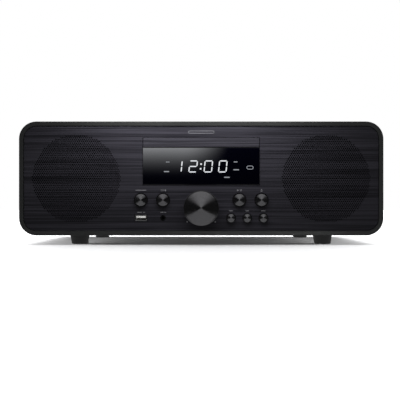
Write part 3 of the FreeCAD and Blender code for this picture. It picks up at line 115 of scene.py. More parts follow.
def maths(tree, operation, first, second=0.0, third=0.0):
    """One sum on two or three values, each a number or a socket."""
    node = wired(tree, "ShaderNodeMath", operation=operation)
    for socket, value in zip(node.inputs, (first, second, third)):
        if isinstance(value, (int, float)):
            socket.default_value = value
        else:
            join(tree, value, socket)
    return node.outputs[0]


# what reflections see: a room bright overhead, at its far sides and behind the object
direction = wired(sky, "ShaderNodeTexCoord")
axes = wired(sky, "ShaderNodeSeparateXYZ")
join(sky, direction.outputs["Generated"], axes.inputs[0])
overhead = ramp(sky, axes.outputs["Z"], start=0.26, end=0.58, low=0.004, high=0.8)
sideways = maths(sky, "ABSOLUTE", axes.outputs["X"])
from_sides = ramp(sky, sideways, start=0.5, end=0.97, low=0.0, high=0.5)
from_behind = ramp(sky, axes.outputs["Y"], start=0.0, end=0.7, low=0.0, high=0.9)
brightness = maths(sky, "MAXIMUM", maths(sky, "MAXIMUM", overhead, from_sides), from_behind)
seen = wired(sky, "ShaderNodeLightPath")
room_light = wired(sky, "ShaderNodeBackground")
room_light.inputs["Color"].default_value = white
join(sky, brightness, room_light.inputs["Strength"])
backdrop = wired(sky, "ShaderNodeBackground")
backdrop.inputs["Color"].default_value = white
backdrop.inputs["Strength"].default_value = 1.0
choose = wired(sky, "ShaderNodeMixShader")
join(sky, seen.outputs["Is Camera Ray"], choose.inputs[0])
join(sky, room_light.outputs[0], choose.inputs[1])
join(sky, backdrop.outputs[0], choose.inputs[2])
world_output = wired(sky, "ShaderNodeOutputWorld")
join(sky, choose.outputs[0], world_output.inputs["Surface"])


def lit_only(name, *pieces):
    """The list of pieces that a lamp or a glowing card reaches."""
    pieces_lit = bpy.data.collections.new(name)
    for piece in pieces:
        pieces_lit.objects.link(piece)
    return pieces_lit


def area_lamp(name, place, width, height, power, tilt=0, turn=0, mirrored=False, reaches=None):
    """A soft rectangular lamp out of the camera's sight, tilted about X and turned about Y."""
    data = bpy.data.lights.new(name, "AREA")
    data.shape = "RECTANGLE"
    data.size = width
    data.size_y = height
    data.energy = power
    lamp = bpy.data.objects.new(name, data)
    lamp.location = place
    lamp.rotation_euler = (math.radians(tilt), math.radians(turn), 0.0)
    lamp.visible_camera = False
    lamp.visible_glossy = mirrored
    lamp.light_linking.receiver_collection = reaches
    scene.collection.objects.link(lamp)
    return lamp


key = area_lamp("soft_key", (-0.01, front - 0.052, 0.202), width=0.24, height=0.04, power=1.1, tilt=45)
cabinet_depth = 0.26
behind = front + cabinet_depth + 0.22
area_lamp("back_fill", (0.0, behind, 0.45), width=0.8, height=0.3, power=5.0, mirrored=True)


def mesh_piece(name, points, faces, material, body, smooth=True):
    """A piece from its points and faces: merged where points meet, and with its faces turned outwards."""
    mesh = bpy.data.meshes.new(name)
    mesh.from_pydata(points.tolist(), [], faces)
    work = bmesh.new()
    work.from_mesh(mesh)
    bmesh.ops.remove_doubles(work, verts=work.verts, dist=1e-6)
    bmesh.ops.recalc_face_normals(work, faces=work.faces)
    work.to_mesh(mesh)
    work.free()
    mesh.polygons.foreach_set("use_smooth", np.full(len(mesh.polygons), smooth))
    mesh.materials.append(material)
    piece = bpy.data.objects.new(name, mesh)
    scene.collection.objects.link(piece)
    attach(piece, body)
    return piece


def plain_material(name, colour, roughness, metallic=0.0):
    """A Principled material with its constant values on their own sockets, ready for its nodes."""
    material = bpy.data.materials.new(name)
    material.use_nodes = True
    tree = material.node_tree
    surface = tree.nodes["Principled BSDF"]
    surface.inputs["Base Color"].default_value = (*colour, 1.0)
    surface.inputs["Roughness"].default_value = roughness
    surface.inputs["Metallic"].default_value = metallic
    return material, tree, surface


floor_material, floor_tree, floor_surface = plain_material("studio_floor", (0.93, 0.93, 0.94), 0.55)
floor_surface.inputs["Specular IOR Level"].default_value = 0.1
floor_surface.inputs["Emission Color"].default_value = white
floor_mesh = bpy.data.meshes.new("studio_floor")
reach = 30.0
floor_corners = [(x, y, 0.0) for x, y in ((-reach, -reach), (reach, -reach), (reach, reach), (-reach, reach))]
floor_mesh.from_pydata(floor_corners, [], [(0, 1, 2, 3)])
floor_mesh.materials.append(floor_material)
floor = bpy.data.objects.new("studio_floor", floor_mesh)
scene.collection.objects.link(floor)

# the floor glows more with distance, so that it melts into the backdrop
floor_place = wired(floor_tree, "ShaderNodeTexCoord")
away = wired(floor_tree, "ShaderNodeVectorMath", operation="LENGTH")
join(floor_tree, floor_place.outputs["Object"], away.inputs[0])
floor_glow = ramp(floor_tree, away.outputs["Value"], start=0.45, end=1.6, low=0.035, high=1.0)
join(floor_tree, floor_glow, floor_surface.inputs["Emission Strength"])

# what the floor throws back on the object is even, and weaker in mirrors than in soft light
mirrored_glow, softened_extra = 0.48, 0.2
floor_ray = wired(floor_tree, "ShaderNodeLightPath")
glossy, diffuse = floor_ray.outputs["Is Glossy Ray"], floor_ray.outputs["Is Diffuse Ray"]
even_floor = wired(floor_tree, "ShaderNodeEmission")
bounce_strength = maths(floor_tree, "MULTIPLY_ADD", diffuse, softened_extra, mirrored_glow)
join(floor_tree, bounce_strength, even_floor.inputs["Strength"])
floor_choice = wired(floor_tree, "ShaderNodeMixShader")
join(floor_tree, maths(floor_tree, "MAXIMUM", glossy, diffuse), floor_choice.inputs[0])
join(floor_tree, floor_surface.outputs[0], floor_choice.inputs[1])
join(floor_tree, even_floor.outputs[0], floor_choice.inputs[2])
join(floor_tree, floor_choice.outputs[0], floor_tree.nodes["Material Output"].inputs["Surface"])

all_but_floor = lit_only("key_lights_all_but", floor)
all_but_floor.collection_objects[0].light_linking.link_state = "EXCLUDE"
key.light_linking.receiver_collection = all_but_floor
floor_only = lit_only("low_lamps_light_only", floor)
for side in (-1, 1):
    beside = (side * 0.46, front + 0.01, 0.045)
    area_lamp(f"low_side_{side}", beside, 0.04, 0.16, power=2.1, turn=90 * side, reaches=floor_only)
above = (0.0, front + cabinet_depth / 2, 1.2)
area_lamp("floor_wash", above, width=2.0, height=2.0, power=10.5, reaches=floor_only)


def studio_card(name, y, low, high, half_width, material):
    """An upright card facing the object, seen only in reflections."""
    mesh = bpy.data.meshes.new(name)
    corners = [(-half_width, y, low), (half_width, y, low), (half_width, y, high), (-half_width, y, high)]
    mesh.from_pydata(corners, [], [(0, 1, 2, 3)])
    mesh.materials.append(material)
    card = bpy.data.objects.new(name, mesh)
    card.visible_camera = False
    card.visible_diffuse = False
    card.visible_shadow = False
    scene.collection.objects.link(card)
    return card


black_card, _, black_surface = plain_material("black_card", (0.0, 0.0, 0.0), 1.0)
black_surface.inputs["Specular IOR Level"].default_value = 0.0
black_surface.inputs["Emission Color"].default_value = white
black_surface.inputs["Emission Strength"].default_value = 0.03
studio_card("black_card", front - 0.115, low=0.0, high=0.072, half_width=0.5, material=black_card)

# ------------------------------------------------------------------ cabinet
# The cabinet is fibreboard wrapped in a charcoal wood foil. The foil is laid round the sleeve,
# so its open grain runs across the top and bottom and up the sides.


def group_of(name, inputs, outputs):
    """An empty shader group with named sockets: its tree, its inlet node and its outlet node."""
    tree = bpy.data.node_groups.new(name, "ShaderNodeTree")
    for label, kind, value in inputs:
        socket = tree.interface.new_socket(name=label, in_out="INPUT", socket_type=kind)
        if value is not None:
            socket.default_value = value
    for label, kind in outputs:
        tree.interface.new_socket(name=label, in_out="OUTPUT", socket_type=kind)
    return tree, tree.nodes.new("NodeGroupInput"), tree.nodes.new("NodeGroupOutput")


def noise(tree, vector, scale, detail, roughness=0.5):
    """A cloud of values from 0 to 1, as many cells to the unit as its scale."""
    node = wired(tree, "ShaderNodeTexNoise")
    for label, value in (("Scale", scale), ("Detail", detail), ("Roughness", roughness)):
        node.inputs[label].default_value = value
    join(tree, vector, node.inputs["Vector"])
    return node


def blended(tree, factor, group_inlet):
    """The colour between a group's own two tones, Dark and Light."""
    node = wired(tree, "ShaderNodeMix", data_type="RGBA")
    join(tree, factor, node.inputs["Factor"])
    join(tree, group_inlet.outputs["Dark"], node.inputs[6])
    join(tree, group_inlet.outputs["Light"], node.inputs[7])
    return node.outputs[2]


def stretched(tree, amounts):
    """Object coordinates, scaled differently along each axis."""
    place = wired(tree, "ShaderNodeTexCoord")
    mapping = wired(tree, "ShaderNodeMapping")
    mapping.inputs["Scale"].default_value = amounts
    join(tree, place.outputs["Object"], mapping.inputs["Vector"])
    return mapping.outputs["Vector"]


def bumped(tree, surface, height, strength, distance):
    """Relief from a height, as deep as the distance."""
    bump = wired(tree, "ShaderNodeBump")
    bump.inputs["Strength"].default_value = strength
    bump.inputs["Distance"].default_value = distance
    join(tree, height, bump.inputs["Height"])
    join(tree, bump.outputs["Normal"], surface.inputs["Normal"])


# open wood grain: fine pores, longer streaks and slow bands, all drawn out along the wood
black_tone, grey_tone = (0.01, 0.01, 0.01, 1), (0.05, 0.05, 0.05, 1)
two_tones = [("Dark", "NodeSocketColor", black_tone), ("Light", "NodeSocketColor", grey_tone)]
grain_tree, grain_in, grain_out = group_of(
    "open_grain",
    [("Along Wood", "NodeSocketVector", None)] + two_tones,
    [("Colour", "NodeSocketColor"), ("Roughness", "NodeSocketFloat"), ("Height", "NodeSocketFloat")],
)
along_wood = grain_in.outputs["Along Wood"]
pores = noise(grain_tree, along_wood, scale=1.0, detail=3.0, roughness=0.6).outputs["Fac"]
streaks = noise(grain_tree, along_wood, scale=0.36, detail=2.0).outputs["Fac"]
bands = noise(grain_tree, along_wood, scale=0.07, detail=2.0).outputs["Fac"]
pore_share, streak_share, band_share = 0.55, 0.28, 0.17
fine = maths(grain_tree, "MULTIPLY", pores, pore_share)
middling = maths(grain_tree, "MULTIPLY", streaks, streak_share)
broad = maths(grain_tree, "MULTIPLY", bands, band_share)
total = maths(grain_tree, "ADD", maths(grain_tree, "ADD", fine, middling), broad)
tone = ramp(grain_tree, total, start=0.4, end=0.6, low=0.0, high=1.0)
join(grain_tree, blended(grain_tree, tone, grain_in), grain_out.inputs["Colour"])
grain_shine = ramp(grain_tree, tone, start=0.0, end=1.0, low=0.68, high=0.5)
join(grain_tree, grain_shine, grain_out.inputs["Roughness"])
join(grain_tree, total, grain_out.inputs["Height"])


def placed(tree, group, dark, light):
    """A shader group set in a material, with the material's own two tones."""
    node = wired(tree, "ShaderNodeGroup", node_tree=group)
    node.inputs["Dark"].default_value = (*dark, 1.0)
    node.inputs["Light"].default_value = (*light, 1.0)
    return node


pore_depth = 0.0003


def wood_foil(name, along, dark, light, relief, gloss=0.1):
    """Foil with open grain; along holds how finely the grain varies along X, Y and Z, per metre."""
    material, tree, surface = plain_material(name, light, 0.5)
    grain = placed(tree, grain_tree, dark, light)
    join(tree, stretched(tree, along), grain.inputs["Along Wood"])
    surface.inputs["Specular IOR Level"].default_value = gloss
    join(tree, grain.outputs["Colour"], surface.inputs["Base Color"])
    join(tree, grain.outputs["Roughness"], surface.inputs["Roughness"])
    bumped(tree, surface, grain.outputs["Height"], relief, pore_depth)
    return material


def finish(material, *names):
    """Gives CAD pieces their finish."""
    for name in names:
        mesh = nodes[name].data
        mesh.materials.clear()
        mesh.materials.append(material)


wrapped_grain = (5.0, 900.0, 5.0)
sleeve_dark, sleeve_light = (0.0052, 0.0054, 0.0053), (0.0100, 0.0103, 0.0102)
sleeve_foil = wood_foil("charcoal_sleeve_foil", wrapped_grain, sleeve_dark, sleeve_light, 0.25, gloss=0.14)
finish(sleeve_foil, "cabinet_shell")
shell_only = lit_only("under_lamp_lights_only", nodes["cabinet_shell"])
in_front = (0.0, front - 0.12, 0.008)
area_lamp("under_lamp", in_front, width=0.42, height=0.03, power=0.9, tilt=100, reaches=shell_only)

# ------------------------------------------------------------------ front panel and drawer front
# Both are moulded plates wrapped in one sheet of the same foil, with its grain lying level,
# and the drawer front is cut from the panel so that the grain carries across it.

level_grain = (7.0, 40.0, 750.0)
panel_dark, panel_light = (0.0058, 0.0056, 0.0073), (0.0182, 0.0174, 0.0220)
# the drawer front's copy of the panel foil is painted lighter: a painted highlight on the same foil
drawer_highlight_dark, drawer_highlight_light = (0.0078, 0.0075, 0.0095), (0.0228, 0.0220, 0.0273)
panel_foil = wood_foil("charcoal_panel_foil", level_grain, panel_dark, panel_light, relief=0.35)
finish(panel_foil, "front_panel")
drawer_highlight_foil = wood_foil("charcoal_foil_painted_highlight", level_grain, drawer_highlight_dark, drawer_highlight_light, relief=0.35)
finish(drawer_highlight_foil, "tray_front")

# ------------------------------------------------------------------ speaker grilles
# Each grille is a thin disc punched with staggered rows of small round holes, let in flush
# with the panel and wrapped with it, so the grain runs on over the holes. A thin near-black
# sheet behind it is painted shade, darkening the holes as the shade inside the cabinet would.

grille_foil = wood_foil("charcoal_grille_foil", level_grain, panel_dark, panel_light, relief=0.35)
hole_pitch = 0.00235
hole_radius = 0.0008
punched_radius = 0.0508
shade_backing_thickness = 0.0002


def measured(name):
    """A CAD piece's lowest and highest corners, and the middle of its front as x and z."""
    low, high = (np.array(v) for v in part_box(name))
    return low, high, ((low[0] + high[0]) / 2, (low[2] + high[2]) / 2)


def punched_disc(name, node, material):
    """A disc punched in a triangular pattern.

    Every hole has a six-sided cell; the cell's corners and edge middles join to twelve points
    on the hole's circle. Cells past the punched zone have no hole, and points past the rim
    are drawn in to it. Open edges of the front sheet are then carried straight to the back.
    """
    low, high, centre = measured(node)
    radius = (high[0] - low[0]) / 2
    row = hole_pitch * math.sqrt(3) / 2
    count = int(radius / row) + 3
    i, j = np.meshgrid(np.arange(-count, count + 1), np.arange(-count, count + 1))
    hubs = np.stack([(i + 0.5 * (j % 2)) * hole_pitch, j * row], -1).reshape(-1, 2)
    from_middle = np.hypot(*hubs.T)
    punched = hubs[from_middle < punched_radius]
    past_rim = radius + 0.55 * hole_pitch
    solid = hubs[(from_middle >= punched_radius) & (from_middle < past_rim)]
    step = np.arange(12)
    after = (step + 1) % 12
    angle = np.radians(30.0) * step
    ring = np.stack([np.cos(angle), np.sin(angle)], -1)
    cell_reach = np.where(step % 2 == 0, hole_pitch / 2, hole_pitch / math.sqrt(3))
    outline = ring * cell_reach[:, None]
    edge = punched[:, None] + outline[None]
    hole = punched[:, None] + ring[None] * hole_radius
    holed = np.stack([edge[:, step], edge[:, after], hole[:, after], hole[:, step]], 2).reshape(-1, 4, 2)
    odd = np.arange(6) * 2
    rim = solid[:, None] + outline[None]
    middle = np.repeat(solid[:, None], 6, 1)
    whole = np.stack([middle, rim[:, odd], rim[:, odd + 1], rim[:, (odd + 2) % 12]], 2).reshape(-1, 4, 2)
    sheet = np.concatenate([holed, whole])
    far = np.hypot(sheet[..., 0], sheet[..., 1])
    tiny = 1e-9
    sheet = sheet * np.minimum(1.0, radius / np.maximum(far, tiny))[..., None]
    across = sheet[:, 2] - sheet[:, 0]
    other = sheet[:, 3] - sheet[:, 1]
    area = np.abs(across[:, 0] * other[:, 1] - across[:, 1] * other[:, 0]) / 2
    sheet = sheet[area > tiny]
    flat, index = np.unique(np.round(sheet.reshape(-1, 2), 7), axis=0, return_inverse=True)
    faces = index.reshape(-1, 4)
    sides = np.stack([faces, np.roll(faces, -1, 1)], -1).reshape(-1, 2)
    sides = sides[sides[:, 0] != sides[:, 1]]
    _, first, times = np.unique(np.sort(sides, 1), axis=0, return_index=True, return_counts=True)
    open_sides = sides[first[times == 1]]
    total = len(flat)
    front_points = np.stack([flat[:, 0] + centre[0], np.full(total, low[1]), flat[:, 1] + centre[1]], -1)
    back_points = front_points + [0.0, high[1] - low[1] - shade_backing_thickness, 0.0]
    behind_them = open_sides + total
    walls = np.stack([open_sides[:, 0], behind_them[:, 0], behind_them[:, 1], open_sides[:, 1]], -1)
    all_faces = np.concatenate([faces, faces[:, ::-1] + total, walls])
    mesh = bpy.data.meshes.new(name)
    mesh.from_pydata(np.concatenate([front_points, back_points]).tolist(), [], all_faces.tolist())
    mesh.validate()
    mesh.materials.append(material)
    piece = bpy.data.objects.new(name, mesh)
    scene.collection.objects.link(piece)
    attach(piece, "cabinet")
    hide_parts(node)
    return piece


# an even speckle of two tones, with as many cells to the metre each way
speckle_tree, speckle_in, speckle_out = group_of(
    "even_speckle",
    [("Place", "NodeSocketVector", None), ("Detail", "NodeSocketFloat", 2.0)] + two_tones,
    [("Colour", "NodeSocketColor"), ("Texture", "NodeSocketFloat")],
)
cells = noise(speckle_tree, speckle_in.outputs["Place"], scale=1.0, detail=2.0)
join(speckle_tree, speckle_in.outputs["Detail"], cells.inputs["Detail"])
join(speckle_tree, blended(speckle_tree, cells.outputs["Fac"], speckle_in), speckle_out.inputs["Colour"])
join(speckle_tree, cells.outputs["Fac"], speckle_out.inputs["Texture"])


def speckled(name, dark, light, roughness, grit, metallic=0.0, detail=2.0, slot="Base Color"):
    """A material of two tones mixed in an even speckle: itself, its tree, shader and texture."""
    material, tree, surface = plain_material(name, light, roughness, metallic)
    speckle = placed(tree, speckle_tree, dark, light)
    speckle.inputs["Detail"].default_value = detail
    join(tree, stretched(tree, (grit, grit, grit)), speckle.inputs["Place"])
    join(tree, speckle.outputs["Colour"], surface.inputs[slot])
    return material, tree, surface, speckle.outputs["Texture"]


# painted shade: a near-black sheet behind each grille, standing in for the shade behind its holes
shade_backing_dark, shade_backing_light = (0.0005, 0.0005, 0.0006), (0.003, 0.003, 0.0034)
shade_backing, _, shade_backing_surface, _ = speckled("painted_shade_backing", shade_backing_dark, shade_backing_light, 0.95, grit=1400.0)
shade_backing_surface.inputs["Specular IOR Level"].default_value = 0.1


def lathe(name, profile, centre, around, material, body):
    """A turned solid: (radius, depth) pairs carried round a line along Y.

    A point is the centre plus r cos a along X and r sin a along Z, at its depth along Y.
    Rings of no radius are merged to a pole.
    """
    profile = np.asarray(profile, float)
    angle = np.linspace(0, 2 * np.pi, around, endpoint=False)
    across = centre[0] + profile[:, :1] * np.cos(angle)
    upward = centre[1] + profile[:, :1] * np.sin(angle)
    along = np.repeat(profile[:, 1:], around, 1)
    ring, step = np.meshgrid(np.arange(len(profile) - 1), np.arange(around), indexing="ij")
    corners = ring * around + step, ring * around + (step + 1) % around
    faces = np.stack([corners[0], corners[1], corners[1] + around, corners[0] + around], -1)
    points = np.stack([across, along, upward], -1).reshape(-1, 3)
    return mesh_piece(name, points, faces.reshape(-1, 4).tolist(), material, body, smooth=False)


for side in ("left", "right"):
    node = f"speaker_grille_{side}"
    punched_disc(f"punched_grille_{side}", node, grille_foil)
    low, high, middle = measured(node)
    radius = (high[0] - low[0]) / 2
    # the painted shade sheet lies across the back of the grille
    shade_backing_front = high[1] - shade_backing_thickness
    sheet = [(0.0, shade_backing_front), (radius, shade_backing_front), (radius, high[1]), (0.0, high[1])]
    lathe(f"shade_backing_screen_{side}", sheet, middle, 64, shade_backing, "cabinet")

# ------------------------------------------------------------------ display
# A polished black window with a light-emitting clock module close behind it. The segments
# lean a little, and small bars and a plain outline stand for the other lamps.

window_colour = (0.0003, 0.0003, 0.0012)
window_black, window_tree, window_surface = plain_material("polished_black_window", window_colour, 0.035)
window_surface.inputs["Coat Weight"].default_value = 0.4
window_surface.inputs["Coat Roughness"].default_value = 0.02
smear = noise(window_tree, stretched(window_tree, (9.0, 9.0, 14.0)), scale=1.0, detail=3.0).outputs["Fac"]
smear_roughness = ramp(window_tree, smear, start=0.0, end=1.0, low=0.02, high=0.06, rise="LINEAR")
join(window_tree, smear_roughness, window_surface.inputs["Roughness"])
finish(window_black, "display_window")

# a far card that glows more upwards and fades away to the right, mirrored by the window alone
card_material = bpy.data.materials.new("studio_card")
card_material.use_nodes = True
card_tree = card_material.node_tree
card_tree.nodes.clear()
card_place = wired(card_tree, "ShaderNodeTexCoord")
card_axes = wired(card_tree, "ShaderNodeSeparateXYZ")
join(card_tree, card_place.outputs["Object"], card_axes.inputs[0])
card_slant, climb_power = -0.35, 2.8
climb = ramp(card_tree, card_axes.outputs["Z"], start=0.1227, end=0.2133, low=0.0, high=1.0, rise="LINEAR")
fading = maths(card_tree, "POWER", climb, climb_power)
leaning = maths(card_tree, "MULTIPLY", card_axes.outputs["Z"], card_slant)
slanted = maths(card_tree, "ADD", card_axes.outputs["X"], leaning)
edge_fade = ramp(card_tree, slanted, start=-0.125, end=0.005, low=3.9, high=0.0)
card_glow = wired(card_tree, "ShaderNodeEmission")
card_glow.inputs["Color"].default_value = (0.95, 0.97, 1.0, 1.0)
join(card_tree, maths(card_tree, "MULTIPLY", fading, edge_fade), card_glow.inputs["Strength"])
card_output = wired(card_tree, "ShaderNodeOutputMaterial")
join(card_tree, card_glow.outputs[0], card_output.inputs["Surface"])
glowing_card = studio_card("glowing_card", front - 1.2, 0.07, 0.26, 0.24, card_material)
glowing_card.light_linking.receiver_collection = lit_only("glowing_card_lights_only", nodes["display_window"])


def lamp_glow(name, dark, light, strength):
    """A dark diffuser lit from behind, with a slight mottle in its light."""
    material, _, surface, _ = speckled(name, dark, light, 0.4, grit=300.0, slot="Emission Color")
    surface.inputs["Base Color"].default_value = (0.02, 0.02, 0.02, 1.0)
    surface.inputs["Emission Strength"].default_value = strength
    return material


clock_light = lamp_glow("clock_light", (0.86, 0.92, 1.0), (1.0, 1.0, 1.0), 0.85)
indicator_light = lamp_glow("indicator_light", (0.75, 0.85, 1.0), (0.95, 0.97, 1.0), 0.3)


def raised_outlines(name, outlines, face_y, rise, material, body):
    """Flat shapes standing a hair's breadth off a face.

    Each outline is taken at two depths for its two ends, and each of its sides, between
    those depths, is a wall with four corners.
    """
    points, faces, start = [], [], 0
    for outline in outlines:
        count = len(outline)
        near = np.stack([outline[:, 0], np.full(count, face_y - rise), outline[:, 1]], -1)
        points += [near, near + [0.0, rise, 0.0]]
        step = np.arange(count)
        after = (step + 1) % count
        faces += (start + np.stack([step, step[::-1] + count])).tolist()
        faces += (start + np.stack([step, step + count, after + count, after], -1)).tolist()
        start += 2 * count
    return mesh_piece(name, np.concatenate(points), faces, material, body, smooth=False)


def closed_bands(rings, count):
    """Faces of a tube whose rings are joined in turn, and the last one to the first."""
    ring, step = np.meshgrid(np.arange(rings), np.arange(count), indexing="ij")
    after, following = (step + 1) % count, (ring + 1) % rings
    here, there = ring * count, following * count
    return np.stack([here + step, here + after, there + after, there + step], -1).reshape(-1, 4).tolist()


def raised_ring(name, outer, inner, face_y, rise, material, body):
    """A flat band between two outlines of as many points.

    Each outline is taken at two depths, and the four edges this gives are joined in turn.
    """
    count = len(outer)
    edges = ((outer, -rise), (inner, -rise), (inner, 0.0), (outer, 0.0))
    rows = [np.stack([edge[:, 0], np.full(count, face_y + depth), edge[:, 1]], -1) for edge, depth in edges]
    bands = closed_bands(len(edges), count)
    return mesh_piece(name, np.concatenate(rows), bands, material, body, smooth=False)


window_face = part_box("display_window")[0][1]
lamp_rise = 0.00004
digit_width = 0.0086
digit_height = 0.0127
digit_level = 0.0906
stroke = 0.00125
lamp_gap = 0.0003
lean = math.tan(math.radians(6))


def segment(start, end):
    """One lamp of a digit: a bar between two points with pointed ends, drawn in by a small gap."""
    start, end = np.array(start), np.array(end)
    way = (end - start) / np.linalg.norm(end - start)
    across = np.array([-way[1], way[0]]) * stroke / 2
    first, last = start + way * lamp_gap, end - way * lamp_gap
    inset = way * stroke / 2
    lower = [first, first + inset - across, last - inset - across]
    upper = [last, last - inset + across, first + inset + across]
    return np.array(lower + upper)


right, top = digit_width / 2, digit_height / 2
left, bottom = -right, -top
lamps = {
    "top": ((left, top), (right, top)), "middle": ((left, 0), (right, 0)),
    "bottom": ((left, bottom), (right, bottom)),
    "upper_left": ((left, 0), (left, top)), "upper_right": ((right, 0), (right, top)),
    "lower_left": ((left, bottom), (left, 0)), "lower_right": ((right, bottom), (right, 0)),
}
zero = ("top", "upper_left", "upper_right", "lower_left", "lower_right", "bottom")
shown = (
    (-0.0268, ("upper_right", "lower_right")),
    (-0.0093, ("top", "upper_right", "middle", "lower_left", "bottom")),
    (0.0082, zero),
    (0.0249, zero),
)
outlines = []
for centre_x, lit in shown:
    for lamp in lit:
        outline = segment(*lamps[lamp])
        outline = outline + np.stack([outline[:, 1] * lean, np.zeros(6)], -1)
        outlines.append(outline + [centre_x, digit_level])
circle_angles = np.linspace(0, 2 * np.pi, 20, endpoint=False)
unit_circle = np.stack([np.cos(circle_angles), np.sin(circle_angles)], -1)
colon_x, colon_radius, colon_rise = -0.0004, 0.00105, 0.0027
for rise in (-colon_rise, colon_rise):
    outlines.append(unit_circle * colon_radius + [colon_x + rise * lean, digit_level + rise])
raised_outlines("clock_segments", outlines, window_face, lamp_rise, clock_light, "cabinet")


def bar(x, z, width, height):
    """A level bar with round ends."""
    reach = max(width / 2 - height / 2, 0.0)
    turn = np.linspace(-np.pi / 2, np.pi / 2, 7)
    right = np.stack([reach + np.cos(turn) * height / 2, np.sin(turn) * height / 2], -1)
    return np.concatenate([right, -right]) + [x, z]


# each bar's middle as x and z, its width and its height
indicator_sizes = (
    (-0.0386, 0.0957, 0.0044, 0.0008), (-0.0399, 0.0847, 0.0062, 0.0012), (0.0396, 0.0958, 0.0044, 0.0010),
    (0.0403, 0.0868, 0.0066, 0.0012), (0.0296, 0.0781, 0.0066, 0.0012),
)
indicator_bars = [bar(*size) for size in indicator_sizes]
raised_outlines(
    "indicator_bars", indicator_bars, window_face, lamp_rise, indicator_light, "cabinet"
)
outline_x, outline_level, outline_line = 0.0562, 0.0893, 0.0007
outline_width, outline_height = 0.0080, 0.0044
outer = bar(outline_x, outline_level, outline_width, outline_height)
inner = bar(outline_x, outline_level, outline_width - 2 * outline_line, outline_height - 2 * outline_line)
raised_ring(
    "indicator_outline", outer, inner, window_face, lamp_rise, indicator_light, "cabinet"
)

# ------------------------------------------------------------------ turned knob and keys
# Solid aluminium, turned on a lathe and anodised dark. The tool leaves fine rings on the
# face, and the rim is chamfered; each one is pushed on to its shaft or its switch.

metal_dark, metal_light = (0.143, 0.142, 0.149), (0.178, 0.177, 0.185)
turned_metal, metal_tree, metal_surface, metal_texture = speckled(
    "turned_dark_aluminium", metal_dark, metal_light, 0.22, grit=900.0, metallic=1.0
)
metal_roughness = ramp(metal_tree, metal_texture, start=0.0, end=1.0, low=0.13, high=0.2, rise="LINEAR")
join(metal_tree, metal_roughness, metal_surface.inputs["Roughness"])
ring_slope = 0.31
knob_ring_pitch = 0.00045
key_ring_pitch = 0.0004


def ringed_face(radius, depth, pitch):
    """The lathe's rings: from each crest the face falls outwards at one slope, then steps back up.

    The fall takes most of the pitch, so more of the face looks outwards than inwards.
    """
    fall = 0.8 * pitch
    k = np.arange(2 * int(radius / pitch) + 1)
    return np.stack([pitch * (k // 2) + fall * (k % 2), depth + fall * ring_slope * (k % 2)], -1)


knob_low, knob_high, knob_centre = measured("volume_knob")
knob_radius = (knob_high[0] - knob_low[0]) / 2
knob_face, knob_back = knob_low[1], knob_high[1]
skirt_radius = knob_radius - 0.0022
recess = knob_face + 0.003
boss_radius, boss_back = 0.006, knob_back - 0.001
bore_radius = 0.00305
rim_radius = knob_radius - 0.0009
knob_rest = [
    (knob_radius - 0.0004, knob_face + 0.0001), (knob_radius, knob_face + 0.0006),
    (knob_radius, knob_back - 0.0003), (knob_radius - 0.0003, knob_back),
    (skirt_radius, knob_back), (skirt_radius, recess), (boss_radius, recess), (boss_radius, boss_back),
    (bore_radius, boss_back), (bore_radius, recess), (0.0, recess),
]
knob_profile = np.concatenate([ringed_face(rim_radius, knob_face, knob_ring_pitch), knob_rest])
knob = lathe(
    "turned_volume_knob", knob_profile, knob_centre, 128, turned_metal, "volume_knob"
)
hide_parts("volume_knob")

flange_width = 0.0013
flange_thickness = 0.0013
key_height = 0.0052
stem_radius = 0.002
for button in [name for name in frame["bodies"] if name.startswith("button_")]:
    low, high, centre = measured(button)
    flange = (high[0] - low[0]) / 2
    cap = flange - flange_width
    seat = low[1] + key_height
    key_rest = [
        (cap - 0.00012, low[1] + 0.00008), (cap, low[1] + 0.0004), (cap, seat), (flange, seat),
        (flange, seat + flange_thickness), (stem_radius, seat + flange_thickness), (stem_radius, high[1]),
        (0.0, high[1]),
    ]
    key_profile = np.concatenate([ringed_face(cap - 0.0005, low[1], key_ring_pitch), key_rest])
    turned_key = lathe("turned_" + button, key_profile, centre, 72, turned_metal, button)
    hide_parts(button)

# ------------------------------------------------------------------ printed marks
# Small grey marks are printed on the foil over each key and socket, with a dot either side
# of the knob and one blank outline where a maker would put a badge.

ink = speckled("grey_print", (0.06, 0.06, 0.066), (0.12, 0.12, 0.126), 0.5, grit=1500.0)[0]
badge_grey = speckled("badge_print", (0.06, 0.06, 0.064), (0.09, 0.09, 0.096), 0.35, grit=900.0)[0]
panel_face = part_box("front_panel")[0][1]
marks = []
big_level, small_level, socket_level = 0.0632, 0.0395, 0.0378
bar_height = 0.0009
print_rise, badge_rise = 0.00003, 0.00005
mark_shapes = {
    "right": np.array([(-0.5, -0.5), (0.6, 0.0), (-0.5, 0.5)]),
    "up": np.array([(-0.6, -0.3), (0.6, -0.3), (0.0, 0.6)]),
    "post": np.array([(-0.15, -0.5), (0.15, -0.5), (0.15, 0.5), (-0.15, 0.5)]),
    "dot": unit_circle,
}


def marks_over(node, level, *shapes):
    """Marks over a CAD piece, each from its offset right and up, its kind and its size."""
    x = measured(node)[2][0]
    for right, up, kind, size in shapes:
        if kind == "bar":
            marks.append(bar(x + right, level + up, size, bar_height))
        else:
            marks.append(mark_shapes[kind] * size + [x + right, level + up])


